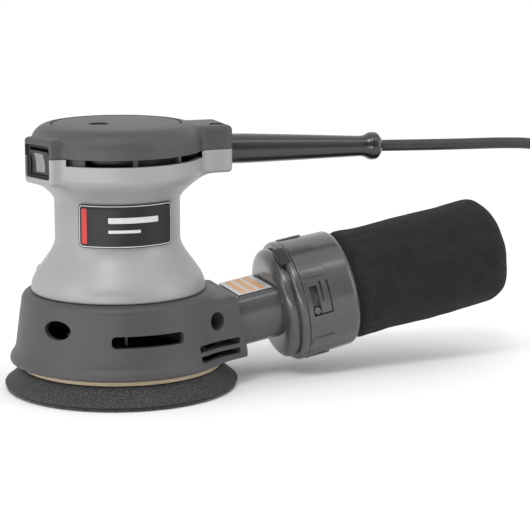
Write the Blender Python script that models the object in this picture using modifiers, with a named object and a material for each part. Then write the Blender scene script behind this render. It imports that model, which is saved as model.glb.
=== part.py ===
"""Palm-grip random-orbit sander with a plug-in dust bag, built as separate pieces on real axes.

Metres, +Z up. The origin is on the motor axis at the level of the sanding face. +X points to the
rear, where the cord and the dust bag leave; the switch is at the front left.
"""

import bmesh
import bpy
from math import cos, pi, radians, sin, sqrt
from mathutils import Matrix, Vector

MM = 0.001

# ---- driving dimensions, millimetres and degrees ----
GAP = 0.3                    # clearance between pieces that touch on the real tool
ORBIT = 1.2                  # throw of the eccentric, half of the 2.4 mm orbit

PAD_RADIUS = 62.5            # sanding face of a 125 mm (5 inch) pad
PAD_TOP_RADIUS = 55.5
HOOK_THICKNESS = 1.4
FOAM_THICKNESS = 9.5
PLATE_THICKNESS = 2.5
DUST_HOLES = 8
DUST_HOLE_RADIUS = 4.5
PAD_SCREWS = 3
PAD_SCREW_CIRCLE = 19.5

LIP_GAP = 0.8                # running gap between the pad's wear ring and the shroud
LIP_RADIUS = 58.2
SHROUD_RADIUS = 54.9         # at the foot of the wall
SHROUD_TOP_RADIUS = 51.8     # at the shoulder
SHROUD_HEIGHT = 37.4
SHROUD_WALL = 2.5

DOME_RADIUS = 46.3
NECK_RADIUS = 33.3
RIM_RADIUS = 44.9
HOUSING_HEIGHT = 70.5
HOUSING_WALL = 2.4

VENT_GAP = 3.8
CAP_HEIGHT = 14.2
CAP_RADIUS = 45.2
DISC_RADIUS = 33.8

MOTOR_CLEARANCE = 1.1        # between the stator and the neck's inside
ARMATURE_RADIUS = 15.0
SHAFT_RADIUS = 3.5
FAN_RADIUS = 46.5

SWITCH_ANGLE = 201.0         # plan angle of the switch block from +X
SWITCH_REACH = 50.2
SWITCH_WIDTH = 25.0
SWITCH_HEIGHT = 24.0
ROCKER_WIDTH = 16.4
ROCKER_HEIGHT = 12.4

CORD_BOX_REACH = 59.5
CORD_BOX_WIDTH = 33.0
CORD_BOX_HEIGHT = 25.2
CORD_BOX_DROP = 13.0         # from the vent gap down to the box's underside
RELIEF_RADIUS = 8.1
RELIEF_TIP_RADIUS = 5.6
RELIEF_LENGTH = 90.0
RELIEF_DROOP = 1.4           # degrees that the relief hangs below level

DUST_TILT = 10.5             # the dust outlet climbs towards the rear
OUTLET_REACH = 63.5          # from the motor axis to the outlet's end
OUTLET_HEIGHT = 18.2         # of the dust axis above the shroud's lip, at the outlet's end
TUBE_HALF_WIDTH = 23.4
TUBE_TOP = 13.8              # flat top above the dust axis
TUBE_BOTTOM = 17.4
TUBE_WALL = 2.2
TUBE_INSERT = 7.0
TUBE_CLEARANCE = 0.6
OUTLET_WALL = 2.2
ADAPTER_START = 21.5         # from the outlet's end along the dust axis
ADAPTER_RADIUS = 30.4
FLANGE_RADIUS = 33.3
ADAPTER_DEPTH = 11.6
RING_RADIUS = 33.0
RING_END_RADIUS = 32.2
RING_LENGTH = 30.5
RING_WALL = 2.2
BAG_RADIUS = 30.3
BAG_LENGTH = 94.0
TWIST = 20.0                 # bayonet turn

CORD_RADIUS = 3.15
COIL_CENTRE = (331.0, -49.2)
COIL_RADIUS = 36.0           # at the middle of the turns
COIL_WIDTH = 25.6            # four turns side by side
COIL_HEIGHT = 12.8           # two layers of turns
COIL_BASE = 0.9              # the tie passes under the coil
TIE_THICKNESS = 0.6
# The lead's free stretch from the strain relief to the coil, chosen by hand.
CORD_ROUTE = [
    (149.8, 0.0, 122.4), (165.0, 0.0, 122.0), (185.0, 0.0, 121.5), (205.0, 0.0, 121.1),
    (225.0, 0.0, 120.7), (243.0, 0.0, 119.4), (257.0, 0.0, 115.2), (268.0, 0.0, 107.0),
    (274.5, -0.2, 95.5), (277.5, -0.5, 82.0), (278.8, -0.8, 67.0), (280.0, -1.2, 52.5),
    (282.6, -1.8, 38.5), (288.0, -2.6, 25.6), (296.2, -3.2, 16.0), (306.0, -3.5, 11.6),
]
# The lead's last stretch, from the coil to the plug.
TAIL_ROUTE = [
    (371.2, -15.4, 4.1), (377.4, -24.3, 4.1), (381.5, -34.2, 4.6), (383.9, -44.4, 5.9), (384.6, -54.4, 7.0),
]

# ---- levels, worked out from the stack of pieces ----
FOAM_BASE = HOOK_THICKNESS + GAP
FOAM_TOP = FOAM_BASE + FOAM_THICKNESS
PLATE_BASE = FOAM_TOP + GAP
PLATE_TOP = PLATE_BASE + PLATE_THICKNESS
SHROUD_BASE = PLATE_TOP + LIP_GAP
SHROUD_TOP = SHROUD_BASE + SHROUD_HEIGHT
HOUSING_BASE = SHROUD_TOP + GAP
HOUSING_TOP = HOUSING_BASE + HOUSING_HEIGHT
CAP_BASE = HOUSING_TOP + VENT_GAP
CAP_TOP = CAP_BASE + CAP_HEIGHT
SPLIT = CAP_BASE - GAP       # where the boxes part between the housing and the cap
CORD_BOX_BASE = CAP_BASE - CORD_BOX_DROP
CORD_BOX_TOP = CORD_BOX_BASE + CORD_BOX_HEIGHT
RELIEF_LEVEL = CAP_BASE - 2.1
SWITCH_MIDDLE = CAP_BASE - 2.3
OUTLET_LEVEL = SHROUD_BASE + OUTLET_HEIGHT

BIG, MEDIUM, SMALL = 32, 16, 8    # sides of turned pieces

for left_over in list(bpy.data.objects):
    bpy.data.objects.remove(left_over)

parts = bpy.data.collections.new("orbital_sander")
cutters = bpy.data.collections.new("cutters")
bpy.context.scene.collection.children.link(parts)
bpy.context.scene.collection.children.link(cutters)


# ---- materials ----
def material(name, colour, roughness, metallic=0.0):
    made = bpy.data.materials.new(name)
    made.use_nodes = True
    shader = made.node_tree.nodes["Principled BSDF"]
    shader.inputs["Base Color"].default_value = (*colour, 1.0)
    shader.inputs["Roughness"].default_value = roughness
    shader.inputs["Metallic"].default_value = metallic
    return made


silver_plastic = material("silver_plastic", (0.42, 0.43, 0.44), 0.42, 0.25)
charcoal_plastic = material("charcoal_plastic", (0.055, 0.057, 0.06), 0.5)
black_plastic = material("black_plastic", (0.015, 0.015, 0.016), 0.45)
grey_plastic = material("grey_plastic", (0.25, 0.25, 0.26), 0.45)
smoke_plastic = material("smoke_plastic", (0.1, 0.1, 0.105), 0.22)
black_rubber = material("black_rubber", (0.02, 0.02, 0.021), 0.6)
black_foam = material("black_foam", (0.028, 0.028, 0.029), 0.85)
hook_fabric = material("hook_fabric", (0.03, 0.03, 0.03), 0.95)
bag_fabric = material("bag_fabric", (0.01, 0.01, 0.011), 0.9)
tan_ring = material("tan_ring", (0.42, 0.35, 0.25), 0.35)
steel = material("steel", (0.55, 0.55, 0.56), 0.3, 1.0)
brass = material("brass", (0.75, 0.58, 0.28), 0.3, 1.0)
copper = material("copper", (0.7, 0.33, 0.16), 0.35, 1.0)
aluminium = material("aluminium", (0.75, 0.76, 0.77), 0.35, 1.0)
laminations = material("laminations", (0.2, 0.2, 0.21), 0.5, 0.8)
carbon = material("carbon", (0.04, 0.04, 0.042), 0.5)
label_film = material("label_film", (0.6, 0.6, 0.6), 0.35)


# ---- shapes ----
def add(name, mesh, finish=None, parent=None):
    """An object in the parts, or among the cutters when it has no finish."""
    made = bpy.data.objects.new(name, mesh)
    (parts if finish else cutters).objects.link(made)
    if finish:
        mesh.materials.append(finish)
    else:
        made.display_type = "WIRE"
        made.hide_render = True
    made.parent = parent
    return made


def mesh_of(name, bm):
    mesh = bpy.data.meshes.new(name)
    bmesh.ops.recalc_face_normals(bm, faces=bm.faces)
    bm.to_mesh(mesh)
    bm.free()
    mesh.shade_smooth()
    mesh.set_sharp_from_angle(angle=radians(35))
    return mesh


def axis(name, place=(0, 0, 0), turn=(0, 0, 0)):
    """An empty on a joint's axis, or on a line that several pieces share."""
    made = bpy.data.objects.new(name, None)
    parts.objects.link(made)
    made.location = Vector(place) * MM
    made.rotation_euler = [radians(a) for a in turn]
    return made


def turned(name, profile, finish=None, sides=BIG, parent=None, centre=(0, 0)):
    """A profile of (radius, height) that runs down its outer side and back up its bore, turned about Z.
    A profile that starts and ends at radius 0 makes a solid, any other is closed into a ring."""
    mesh = bpy.data.meshes.new(name)
    bm = bmesh.new()
    points = [bm.verts.new((r * MM, 0, z * MM)) for r, z in profile]
    for a, b in zip(points, points[1:]):
        bm.edges.new((a, b))
    if profile[0][0] > 0:
        bm.edges.new((points[-1], points[0]))
    bm.to_mesh(mesh)
    bm.free()
    made = add(name, mesh, finish, parent)
    made.location = (centre[0] * MM, centre[1] * MM, 0)
    screw = made.modifiers.new("turn", "SCREW")
    screw.steps = sides
    screw.render_steps = sides
    screw.use_merge_vertices = True
    screw.merge_threshold = 0.00001
    screw.use_smooth_shade = True
    return made


def ring(name, outer, inner, low, high, finish=None, sides=BIG, parent=None, centre=(0, 0)):
    return turned(name, [(outer, high), (outer, low), (inner, low), (inner, high)], finish, sides, parent, centre)


def disc(name, radius, low, high, finish=None, sides=BIG, parent=None, centre=(0, 0)):
    return turned(name, [(0, high), (radius, high), (radius, low), (0, low)], finish, sides, parent, centre)


def box_mesh(bm, low, high, turn=None):
    size = Vector(high) - Vector(low)
    middle = (Vector(high) + Vector(low)) / 2
    place = Matrix.Translation(middle * MM) @ Matrix.Diagonal((*(size * MM), 1))
    bmesh.ops.create_cube(bm, size=1, matrix=(turn or Matrix()) @ place)


def box(name, low, high, finish=None, parent=None, rounding=0, turn=None):
    bm = bmesh.new()
    box_mesh(bm, low, high, turn)
    if rounding:
        bmesh.ops.bevel(bm, geom=bm.edges, offset=rounding * MM, segments=2, profile=0.5, affect="EDGES")
    return add(name, mesh_of(name, bm), finish, parent)


def rod_mesh(bm, radius, start, end, sides=SMALL):
    start, end = Vector(start) * MM, Vector(end) * MM
    along = end - start
    place = Matrix.Translation((start + end) / 2) @ along.to_track_quat("Z", "Y").to_matrix().to_4x4()
    bmesh.ops.create_cone(bm, cap_ends=True, segments=sides, radius1=radius * MM, radius2=radius * MM,
                          depth=along.length, matrix=place)


def rods(name, pieces, finish=None, parent=None, sides=SMALL):
    """Cylinders given as (radius, start, end), as one mesh."""
    bm = bmesh.new()
    for radius, start, end in pieces:
        rod_mesh(bm, radius, start, end, sides)
    return add(name, mesh_of(name, bm), finish, parent)


def extruded(name, outline, low, high, finish=None, parent=None):
    """A closed flat outline in X and Y, carried from one height to another."""
    curve = bpy.data.curves.new(name, "CURVE")
    curve.dimensions = "2D"
    curve.fill_mode = "BOTH"
    curve.extrude = (high - low) / 2 * MM
    spline = curve.splines.new("POLY")
    spline.points.add(len(outline) - 1)
    for point, (x, y) in zip(spline.points, outline):
        point.co = (x * MM, y * MM, 0, 1)
    spline.use_cyclic_u = True
    flat = bpy.data.objects.new(name + "_outline", curve)
    cutters.objects.link(flat)
    solid = bpy.data.meshes.new_from_object(flat.evaluated_get(bpy.context.evaluated_depsgraph_get()))
    bpy.data.objects.remove(flat)
    bm = bmesh.new()
    bm.from_mesh(solid)
    bmesh.ops.remove_doubles(bm, verts=bm.verts, dist=0.000001)
    bmesh.ops.translate(bm, verts=bm.verts, vec=(0, 0, (low + high) / 2 * MM))
    return add(name, mesh_of(name, bm), finish, parent)


def boolean(piece, operation, *others, solver="EXACT"):
    for other in others:
        step = piece.modifiers.new(other.name, "BOOLEAN")
        step.operation = operation
        step.solver = solver
        step.object = other


def cut(piece, *others, solver="EXACT"):
    boolean(piece, "DIFFERENCE", *others, solver=solver)


def join(piece, *others, solver="EXACT"):
    boolean(piece, "UNION", *others, solver=solver)


def arc(centre, radii, start, end, count):
    """Points of an elliptical arc between two angles in degrees."""
    turns = [radians(start + (end - start) * i / count) for i in range(count + 1)]
    return [(centre[0] + radii[0] * cos(a), centre[1] + radii[1] * sin(a)) for a in turns]


def smooth(share):
    return share * share * (3 - 2 * share)


def around(count, radius, first=0.0):
    return [(radius * cos(radians(first) + 2 * pi * i / count), radius * sin(radians(first) + 2 * pi * i / count))
            for i in range(count)]


def smooth_route(points, spacing):
    """Points about a spacing apart on the curve through the given ones."""
    points = [Vector(p) for p in points]
    padded = [2 * points[0] - points[1], *points, 2 * points[-1] - points[-2]]
    out = []
    for a, b, c, d in zip(padded, padded[1:], padded[2:], padded[3:]):
        count = max(1, round((c - b).length / spacing))
        for i in range(count):
            t = i / count
            out.append(0.5 * (2 * b + (c - a) * t + (2 * a - 5 * b + 4 * c - d) * t ** 2
                              + (3 * b - a - 3 * c + d) * t ** 3))
    return out + [points[-1]]


def lead(name, points, radius, finish):
    """A length of round cord."""
    curve = bpy.data.curves.new(name, "CURVE")
    curve.dimensions = "3D"
    curve.bevel_depth = radius * MM
    curve.bevel_resolution = 2
    curve.use_fill_caps = True
    spline = curve.splines.new("POLY")
    spline.points.add(len(points) - 1)
    for point, place in zip(spline.points, points):
        point.co = (*(place * MM), 1)
    made = bpy.data.objects.new(name, curve)
    curve.materials.append(finish)
    parts.objects.link(made)
    return made


# ---- axes ----
spindle_axis = axis("spindle_axis")
pad_axis = axis("pad_axis", (ORBIT, 0, 0))
# Local Z runs along the dust axis to the rear, local -X is up and local -Y faces the left side.
dust_axis = axis("dust_axis", (OUTLET_REACH, 0, OUTLET_LEVEL), (0, 90 - DUST_TILT, 0))
# Local X runs outwards through the switch, local Z is up.
switch_axis = axis("switch_axis", (0, 0, SWITCH_MIDDLE), (0, 0, SWITCH_ANGLE))


# ---- pad: hook face, foam, plate, wear ring and bearing hub, on the eccentric ----
def drill_pad(piece, low, high, screw_radius):
    """The dust and screw holes that every layer of the pad shares."""
    holes = [(DUST_HOLE_RADIUS, (x, y, low), (x, y, high))
             for x, y in around(DUST_HOLES, PAD_RADIUS * 0.7, 22.5)]
    holes += [(screw_radius, (x, y, low), (x, y, high)) for x, y in around(PAD_SCREWS, PAD_SCREW_CIRCLE)]
    cut(piece, rods(piece.name + "_holes", holes, parent=pad_axis))


SCREW_RADIUS = 1.7
HEAD_RADIUS = 3.4
HUB_FLANGE_RADIUS = PAD_SCREW_CIRCLE + 5
BEARING_RADIUS = 11.0
BEARING_HEIGHT = 7.0
PIN_RADIUS = 4.2
HUB_TOP = PLATE_TOP + GAP + BEARING_HEIGHT + 2

hook_face = disc("hook_face", PAD_RADIUS - 0.6, 0, HOOK_THICKNESS, hook_fabric, parent=pad_axis)
drill_pad(hook_face, -2, HOOK_THICKNESS + 2, HEAD_RADIUS + 1)

pad_foam = turned("pad_foam", [
    (0, FOAM_TOP), (PAD_TOP_RADIUS, FOAM_TOP), (PAD_RADIUS, FOAM_BASE + 1.6),
    (PAD_RADIUS - 0.2, FOAM_BASE), (0, FOAM_BASE),
], black_foam, parent=pad_axis)
drill_pad(pad_foam, FOAM_BASE - 2, FOAM_TOP + 2, HEAD_RADIUS + 1)

WEAR_RING_RADIUS = PAD_TOP_RADIUS - 1.0
WEAR_RING_WIDTH = 5.5
pad_plate = disc("pad_plate", WEAR_RING_RADIUS - WEAR_RING_WIDTH - GAP, PLATE_BASE, PLATE_TOP, black_plastic,
                 parent=pad_axis)
drill_pad(pad_plate, PLATE_BASE - 2, PLATE_TOP + 2, SCREW_RADIUS + GAP)
wear_ring = turned("wear_ring", [
    (WEAR_RING_RADIUS - 0.5, PLATE_TOP), (WEAR_RING_RADIUS, PLATE_TOP - 0.5), (WEAR_RING_RADIUS, PLATE_BASE),
    (WEAR_RING_RADIUS - WEAR_RING_WIDTH, PLATE_BASE), (WEAR_RING_RADIUS - WEAR_RING_WIDTH, PLATE_TOP),
], tan_ring, parent=pad_axis)

pad_hub = turned("pad_hub", [
    (BEARING_RADIUS + 3, HUB_TOP), (BEARING_RADIUS + 3, PLATE_TOP + GAP + 2.2),
    (HUB_FLANGE_RADIUS, PLATE_TOP + GAP + 2.2), (HUB_FLANGE_RADIUS, PLATE_TOP + GAP),
    (BEARING_RADIUS - 2.5, PLATE_TOP + GAP), (BEARING_RADIUS - 2.5, PLATE_TOP + GAP + 0.9),
    (BEARING_RADIUS + GAP, PLATE_TOP + GAP + 0.9), (BEARING_RADIUS + GAP, HUB_TOP),
], aluminium, MEDIUM, pad_axis)
cut(pad_hub, rods("pad_hub_holes", [
    (SCREW_RADIUS + GAP, (x, y, PLATE_TOP - 2), (x, y, HUB_TOP)) for x, y in around(PAD_SCREWS, PAD_SCREW_CIRCLE)
], parent=pad_axis))
PAD_BEARING_BASE = PLATE_TOP + GAP + 0.9 + GAP
ring("pad_bearing", BEARING_RADIUS, PIN_RADIUS + GAP, PAD_BEARING_BASE, PAD_BEARING_BASE + BEARING_HEIGHT, steel,
     MEDIUM, pad_axis)

for index, (x, y) in enumerate(around(PAD_SCREWS, PAD_SCREW_CIRCLE)):
    head_top = PLATE_BASE - GAP
    turned(f"pad_screw_{index + 1}", [
        (0, PLATE_TOP + 4), (SCREW_RADIUS, PLATE_TOP + 4), (SCREW_RADIUS, head_top), (HEAD_RADIUS, head_top),
        (HEAD_RADIUS, head_top - 2.2), (1.4, head_top - 2.2), (1.2, head_top - 1.1), (0, head_top - 1.1),
    ], steel, SMALL, pad_axis, (x, y))

# ---- spindle: shaft with its eccentric pin, fan, counterweight and armature ----
FAN_BASE = HUB_TOP + 3.9
FAN_PLATE = 1.6
FAN_HEIGHT = 9.0
LOWER_BEARING_BASE = HOUSING_BASE + 0.8
STATOR_BASE = HOUSING_BASE + 15.5
STATOR_TOP = HOUSING_TOP - 27.0
MOTOR_RADIUS = NECK_RADIUS - HOUSING_WALL - MOTOR_CLEARANCE
UPPER_BRACKET = HOUSING_TOP - 7.8
UPPER_BEARING_BASE = UPPER_BRACKET - 1.4
COMMUTATOR_BASE = STATOR_TOP + 5.8
COMMUTATOR_TOP = COMMUTATOR_BASE + 10.5

motor_shaft = disc("motor_shaft", SHAFT_RADIUS, FAN_BASE - 3.2, HOUSING_TOP - 2.5, steel, MEDIUM, spindle_axis)
join(motor_shaft, disc("eccentric_pin", PIN_RADIUS, PAD_BEARING_BASE - 0.3, FAN_BASE - 2.6, sides=MEDIUM,
                       parent=pad_axis))

fan = turned("fan", [
    (8, FAN_BASE + FAN_HEIGHT), (8, FAN_BASE + FAN_PLATE), (FAN_RADIUS, FAN_BASE + FAN_PLATE),
    (FAN_RADIUS, FAN_BASE), (SHAFT_RADIUS + GAP, FAN_BASE), (SHAFT_RADIUS + GAP, FAN_BASE + FAN_HEIGHT),
], aluminium, BIG, spindle_axis)
FAN_BLADES = 9
blades = bmesh.new()
for index in range(FAN_BLADES):
    box_mesh(blades, (12, -0.7, FAN_BASE + 0.5), (FAN_RADIUS - 1.5, 0.7, FAN_BASE + FAN_HEIGHT),
             Matrix.Rotation(2 * pi * (index + 0.5) / FAN_BLADES, 4, "Z"))
join(fan, add("fan_blades", mesh_of("fan_blades", blades), parent=spindle_axis))

counterweight = ring("counterweight", FAN_RADIUS - 11, SHAFT_RADIUS + 5, FAN_BASE - GAP - 2.6, FAN_BASE - GAP,
                     brass, MEDIUM, spindle_axis)
cut(counterweight, box("counterweight_cut", (-4, -60, FAN_BASE - 6), (60, 60, FAN_BASE + 3)))

ring("armature_core", ARMATURE_RADIUS, SHAFT_RADIUS + GAP, STATOR_BASE + 2, STATOR_TOP - 2, laminations, MEDIUM,
     spindle_axis)
for name, low, high in (("armature_winding_lower", STATOR_BASE - 4.5, STATOR_BASE + 1.7),
                        ("armature_winding_upper", STATOR_TOP - 1.7, STATOR_TOP + 4.5)):
    turned(name, [
        (ARMATURE_RADIUS - 3.5, high), (ARMATURE_RADIUS - 1.5, high - 2), (ARMATURE_RADIUS - 1.5, low + 2),
        (ARMATURE_RADIUS - 3.5, low), (SHAFT_RADIUS + GAP, low), (SHAFT_RADIUS + GAP, high),
    ], copper, MEDIUM, spindle_axis)
ring("commutator", ARMATURE_RADIUS - 4.5, SHAFT_RADIUS + GAP, COMMUTATOR_BASE, COMMUTATOR_TOP, copper, MEDIUM,
     spindle_axis)

# ---- motor pieces that stay in the housing ----
for name, low in (("lower_bearing", LOWER_BEARING_BASE), ("upper_bearing", UPPER_BEARING_BASE)):
    ring(name, BEARING_RADIUS - 2, SHAFT_RADIUS + GAP, low, low + 6, steel, MEDIUM)
hub_bore = BEARING_RADIUS - 2 + GAP
turned("bearing_plate", [
    (hub_bore + 3, LOWER_BEARING_BASE + 6), (hub_bore + 3, HOUSING_BASE + 2.5),
    (DOME_RADIUS - HOUSING_WALL - 0.8, HOUSING_BASE + 2.5), (DOME_RADIUS - HOUSING_WALL - 0.8, HOUSING_BASE),
    (SHAFT_RADIUS + 1.5, HOUSING_BASE), (SHAFT_RADIUS + 1.5, HOUSING_BASE + 0.5),
    (hub_bore, HOUSING_BASE + 0.5), (hub_bore, LOWER_BEARING_BASE + 6),
], charcoal_plastic, MEDIUM)
turned("upper_bracket", [
    (hub_bore + 2.6, UPPER_BEARING_BASE + 6), (hub_bore + 2.6, UPPER_BRACKET + 2.4),
    (RIM_RADIUS - HOUSING_WALL - 1.0, UPPER_BRACKET + 2.4), (RIM_RADIUS - HOUSING_WALL - 1.0, UPPER_BRACKET),
    (hub_bore + 2.6, UPPER_BRACKET), (hub_bore + 2.6, UPPER_BEARING_BASE),
    (hub_bore, UPPER_BEARING_BASE), (hub_bore, UPPER_BEARING_BASE + 6),
], charcoal_plastic, MEDIUM)
ring("stator_core", MOTOR_RADIUS, ARMATURE_RADIUS + 0.8, STATOR_BASE, STATOR_TOP, laminations, MEDIUM)
for name, low, high in (("field_winding_lower", STATOR_BASE - 6.5, STATOR_BASE - GAP),
                        ("field_winding_upper", STATOR_TOP + GAP, STATOR_TOP + 5.2)):
    turned(name, [
        (MOTOR_RADIUS - 4, high), (MOTOR_RADIUS - 2.5, (low + high) / 2), (MOTOR_RADIUS - 4, low),
        (ARMATURE_RADIUS + 1.5, low), (ARMATURE_RADIUS + 1.5, high),
    ], copper, MEDIUM)
for side, name in ((-1, "left"), (1, "right")):
    commutator_face = ARMATURE_RADIUS - 4.5 + GAP
    middle = (COMMUTATOR_BASE + COMMUTATOR_TOP) / 2
    holder = box(f"brush_holder_{name}", (-4.6, side * commutator_face + side * 2.2, middle - 4.6),
                 (4.6, side * (MOTOR_RADIUS + 1), middle + 4.6), brass)
    cut(holder, box(f"brush_slot_{name}", (-3.0, 0, middle - 3.0), (3.0, side * (MOTOR_RADIUS - 1), middle + 3.0)))
    box(f"carbon_brush_{name}", (-2.7, side * commutator_face, middle - 2.7),
        (2.7, side * (commutator_face + 12), middle + 2.7), carbon)


# ---- dust shroud with its tilted outlet ----
def dust_outline(out):
    """The tube's section, grown outwards: a flat top on a round belly. Local -X is up."""
    half, top, middle = TUBE_HALF_WIDTH + out, TUBE_TOP + out, 3.0
    corner = 4.5 + out
    points = arc((0, middle), (half, TUBE_BOTTOM + out + middle), 180, 360, 10)
    points += arc((half - corner, top - corner), (corner, corner), 0, 90, 2)
    points += arc((-half + corner, top - corner), (corner, corner), 90, 180, 2)
    return [(-v, u) for u, v in points]


def cheek_outline(half, low, high, corner):
    """A rounded rectangle about the dust axis, from below it to above it."""
    points = []
    for u, v, start in ((half, high, 0), (-half, high, 90), (-half, low, 180), (half, low, 270)):
        middle = (u - corner * (1 if u > 0 else -1), v - corner * (1 if v > 0 else -1))
        points += arc(middle, (corner, corner), start, start + 90, 2)
    return [(-v, u) for u, v in points]


def lofted(name, outlines, finish=None, parent=None):
    """A closed skin through flat outlines of as many points, each given with its height."""
    bm = bmesh.new()
    loops = [[bm.verts.new((x * MM, y * MM, z * MM)) for x, y in outline] for outline, z in outlines]
    for loop in loops:
        for a, b in zip(loop, loop[1:] + loop[:1]):
            bm.edges.new((a, b))
    for low, high in zip(loops, loops[1:]):
        edges = [e for e in bm.edges if all(v in low for v in e.verts) or all(v in high for v in e.verts)]
        bmesh.ops.bridge_loops(bm, edges=edges)
    for loop in (loops[0], loops[-1]):
        bmesh.ops.contextual_create(bm, geom=loop)
    return add(name, mesh_of(name, bm), finish, parent)


shoulder = SHROUD_TOP - 5.2
shroud = turned("dust_shroud", [
    (0, SHROUD_TOP),
    *reversed(arc((DOME_RADIUS + 0.7, shoulder), (SHROUD_TOP_RADIUS - DOME_RADIUS - 0.7, 5.2), 0, 90, 3)),
    (SHROUD_RADIUS, SHROUD_BASE + 9.5), (SHROUD_RADIUS + 0.5, SHROUD_BASE + 7.3), (LIP_RADIUS, SHROUD_BASE + 2.4),
    (LIP_RADIUS, SHROUD_BASE + 0.8), (LIP_RADIUS - 0.6, SHROUD_BASE), (0, SHROUD_BASE),
], charcoal_plastic)
# The outlet's cheeks run back from the round wall to the tube.
OUTLET_WALL_OUT = TUBE_CLEARANCE + OUTLET_WALL
cheek_half = TUBE_HALF_WIDTH + OUTLET_WALL_OUT
cheek_low = -TUBE_BOTTOM - OUTLET_WALL_OUT + 1.0
cheek_high = TUBE_TOP + OUTLET_WALL_OUT - 0.6
BLEND_START = -36.0
join(shroud, lofted("outlet_outside", [
    (cheek_outline(SHROUD_TOP_RADIUS * 0.83, cheek_low + 5.5, cheek_high + 3.6, 6), BLEND_START),
    (cheek_outline(cheek_half, cheek_low, cheek_high, 6), 0),
], parent=dust_axis))
shroud_bore = DOME_RADIUS - 5.5
pad_sweep = WEAR_RING_RADIUS + ORBIT + 5 * GAP
inner_radius = SHROUD_TOP_RADIUS - SHROUD_WALL
cut(shroud, turned("shroud_cavity", [
    (0, SHROUD_TOP + 3), (shroud_bore, SHROUD_TOP + 3), (shroud_bore, SHROUD_TOP - SHROUD_WALL),
    (inner_radius - 0.8, SHROUD_TOP - SHROUD_WALL), (inner_radius, shoulder - 1),
    (SHROUD_RADIUS - SHROUD_WALL, SHROUD_BASE + 8.5), (LIP_RADIUS - SHROUD_WALL, SHROUD_BASE + 2.4),
    (LIP_RADIUS - SHROUD_WALL, SHROUD_BASE - GAP), (pad_sweep, SHROUD_BASE - GAP), (pad_sweep, SHROUD_BASE - 3),
    (0, SHROUD_BASE - 3),
]), extruded("outlet_bore", dust_outline(TUBE_CLEARANCE), BLEND_START + 6, 5, parent=dust_axis))


def sector(inner, outer, start, end):
    """A plan outline between two radii and two angles in degrees."""
    count = max(2, round((end - start) / 9))
    return arc((0, 0), (outer, outer), start, end, count) + arc((0, 0), (inner, inner), end, start, count)


# Breather openings, alike on both sides: a wide slot, an oval at the front, and in each cheek of the
# outlet a round hole above two slots.
SLOT_LEVEL = SHROUD_BASE + 19.4
OVAL_LEVEL = SHROUD_BASE + 24.0
CHEEK_LEVEL = SHROUD_BASE + 23.1
CHEEK_ANGLE = 64.0
WIDE_MIDDLE, WIDE_HALF_TURN = 87.5, 21.4
OVAL_ANGLE = 141.7
for side, name in ((-1, "left"), (1, "right")):
    wide_slot = sector(SHROUD_RADIUS - 9, SHROUD_RADIUS + 4, side * WIDE_MIDDLE - WIDE_HALF_TURN,
                       side * WIDE_MIDDLE + WIDE_HALF_TURN)
    cut(shroud, extruded(f"wide_slot_{name}", wide_slot, SLOT_LEVEL - 3, SLOT_LEVEL + 3))
    oval = arc((0, 0), (4.9, 8.4), 0, 345, 23)
    oval_cutter = extruded(f"oval_{name}", oval, SHROUD_RADIUS - 14, SHROUD_RADIUS + 4)
    oval_cutter.location = (0, 0, OVAL_LEVEL * MM)
    oval_cutter.rotation_euler = (0, pi / 2, radians(side * OVAL_ANGLE))
    out = Vector((cos(radians(CHEEK_ANGLE)), side * sin(radians(CHEEK_ANGLE)), 0))
    along = Vector((out.y * side, -out.x * side, 0))
    hole = Vector((44.7, side * 35.4, CHEEK_LEVEL))
    cut(shroud, rods(f"cheek_hole_{name}", [(4.9, hole - out * 13, hole + out * 8)]))
    for index, (drop, half_height) in enumerate(((12.4, 1.8), (17.8, 1.6))):
        bm = bmesh.new()
        box_mesh(bm, (-15.5, -9, -half_height), (15.5, 9, half_height))
        slot = add(f"cheek_slot_{name}_{index + 1}", mesh_of("cheek_slot", bm))
        slot.location = (hole - Vector((0, 0, drop))) * MM
        slot.rotation_euler = (0, 0, radians(side * (CHEEK_ANGLE - 90)))
        cut(shroud, slot)

ring("brake_seal", LIP_RADIUS - SHROUD_WALL - GAP, WEAR_RING_RADIUS - 4.5, PLATE_TOP + 0.4, PLATE_TOP + 2.4,
     black_rubber)


# ---- motor housing in two halves, with the lower halves of the cord box and the switch block ----
def housing_radius(level):
    """The outer radius at a height above the housing's base: dome, neck and flared rim."""
    if level < 28:
        return DOME_RADIUS + (NECK_RADIUS - DOME_RADIUS) * smooth(max(0, level - 2) / 26)
    return NECK_RADIUS + (RIM_RADIUS - NECK_RADIUS) * smooth(min(max(0, level - 48) / 15.5, 1))


LEVELS = [1.5, 6, 11, 16, 21, 26, 49, 52.5, 56, 59.5, 63.5]
housing_scale = HOUSING_HEIGHT / 70.5
outside = [(housing_radius(v), HOUSING_BASE + v * housing_scale) for v in LEVELS]
inside = [(r - HOUSING_WALL, z) for r, z in outside]
housing_solid = [(0, HOUSING_TOP), (RIM_RADIUS, HOUSING_TOP), *reversed(outside), (DOME_RADIUS - 0.5, HOUSING_BASE),
                 (0, HOUSING_BASE)]
housing_hollow = [(0, HOUSING_TOP + 6), (RIM_RADIUS - HOUSING_WALL, HOUSING_TOP + 6), *reversed(inside),
                  (DOME_RADIUS - HOUSING_WALL, HOUSING_BASE - 3), (0, HOUSING_BASE - 3)]

BOX_WALL = 2.2
cord_half = CORD_BOX_WIDTH / 2
switch_half = SWITCH_WIDTH / 2
switch_low = -SWITCH_HEIGHT / 2
POCKET_WIDTH = ROCKER_WIDTH + 5.4
POCKET_HEIGHT = ROCKER_HEIGHT + 4.8
HEAD_BOSS = 3.9
housing_screws = [(-36.0, HOUSING_BASE + 7.8), (36.0, HOUSING_BASE + 7.8), (-30.0, HOUSING_TOP - 12.0),
                  (30.0, HOUSING_TOP - 12.0)]


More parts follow.
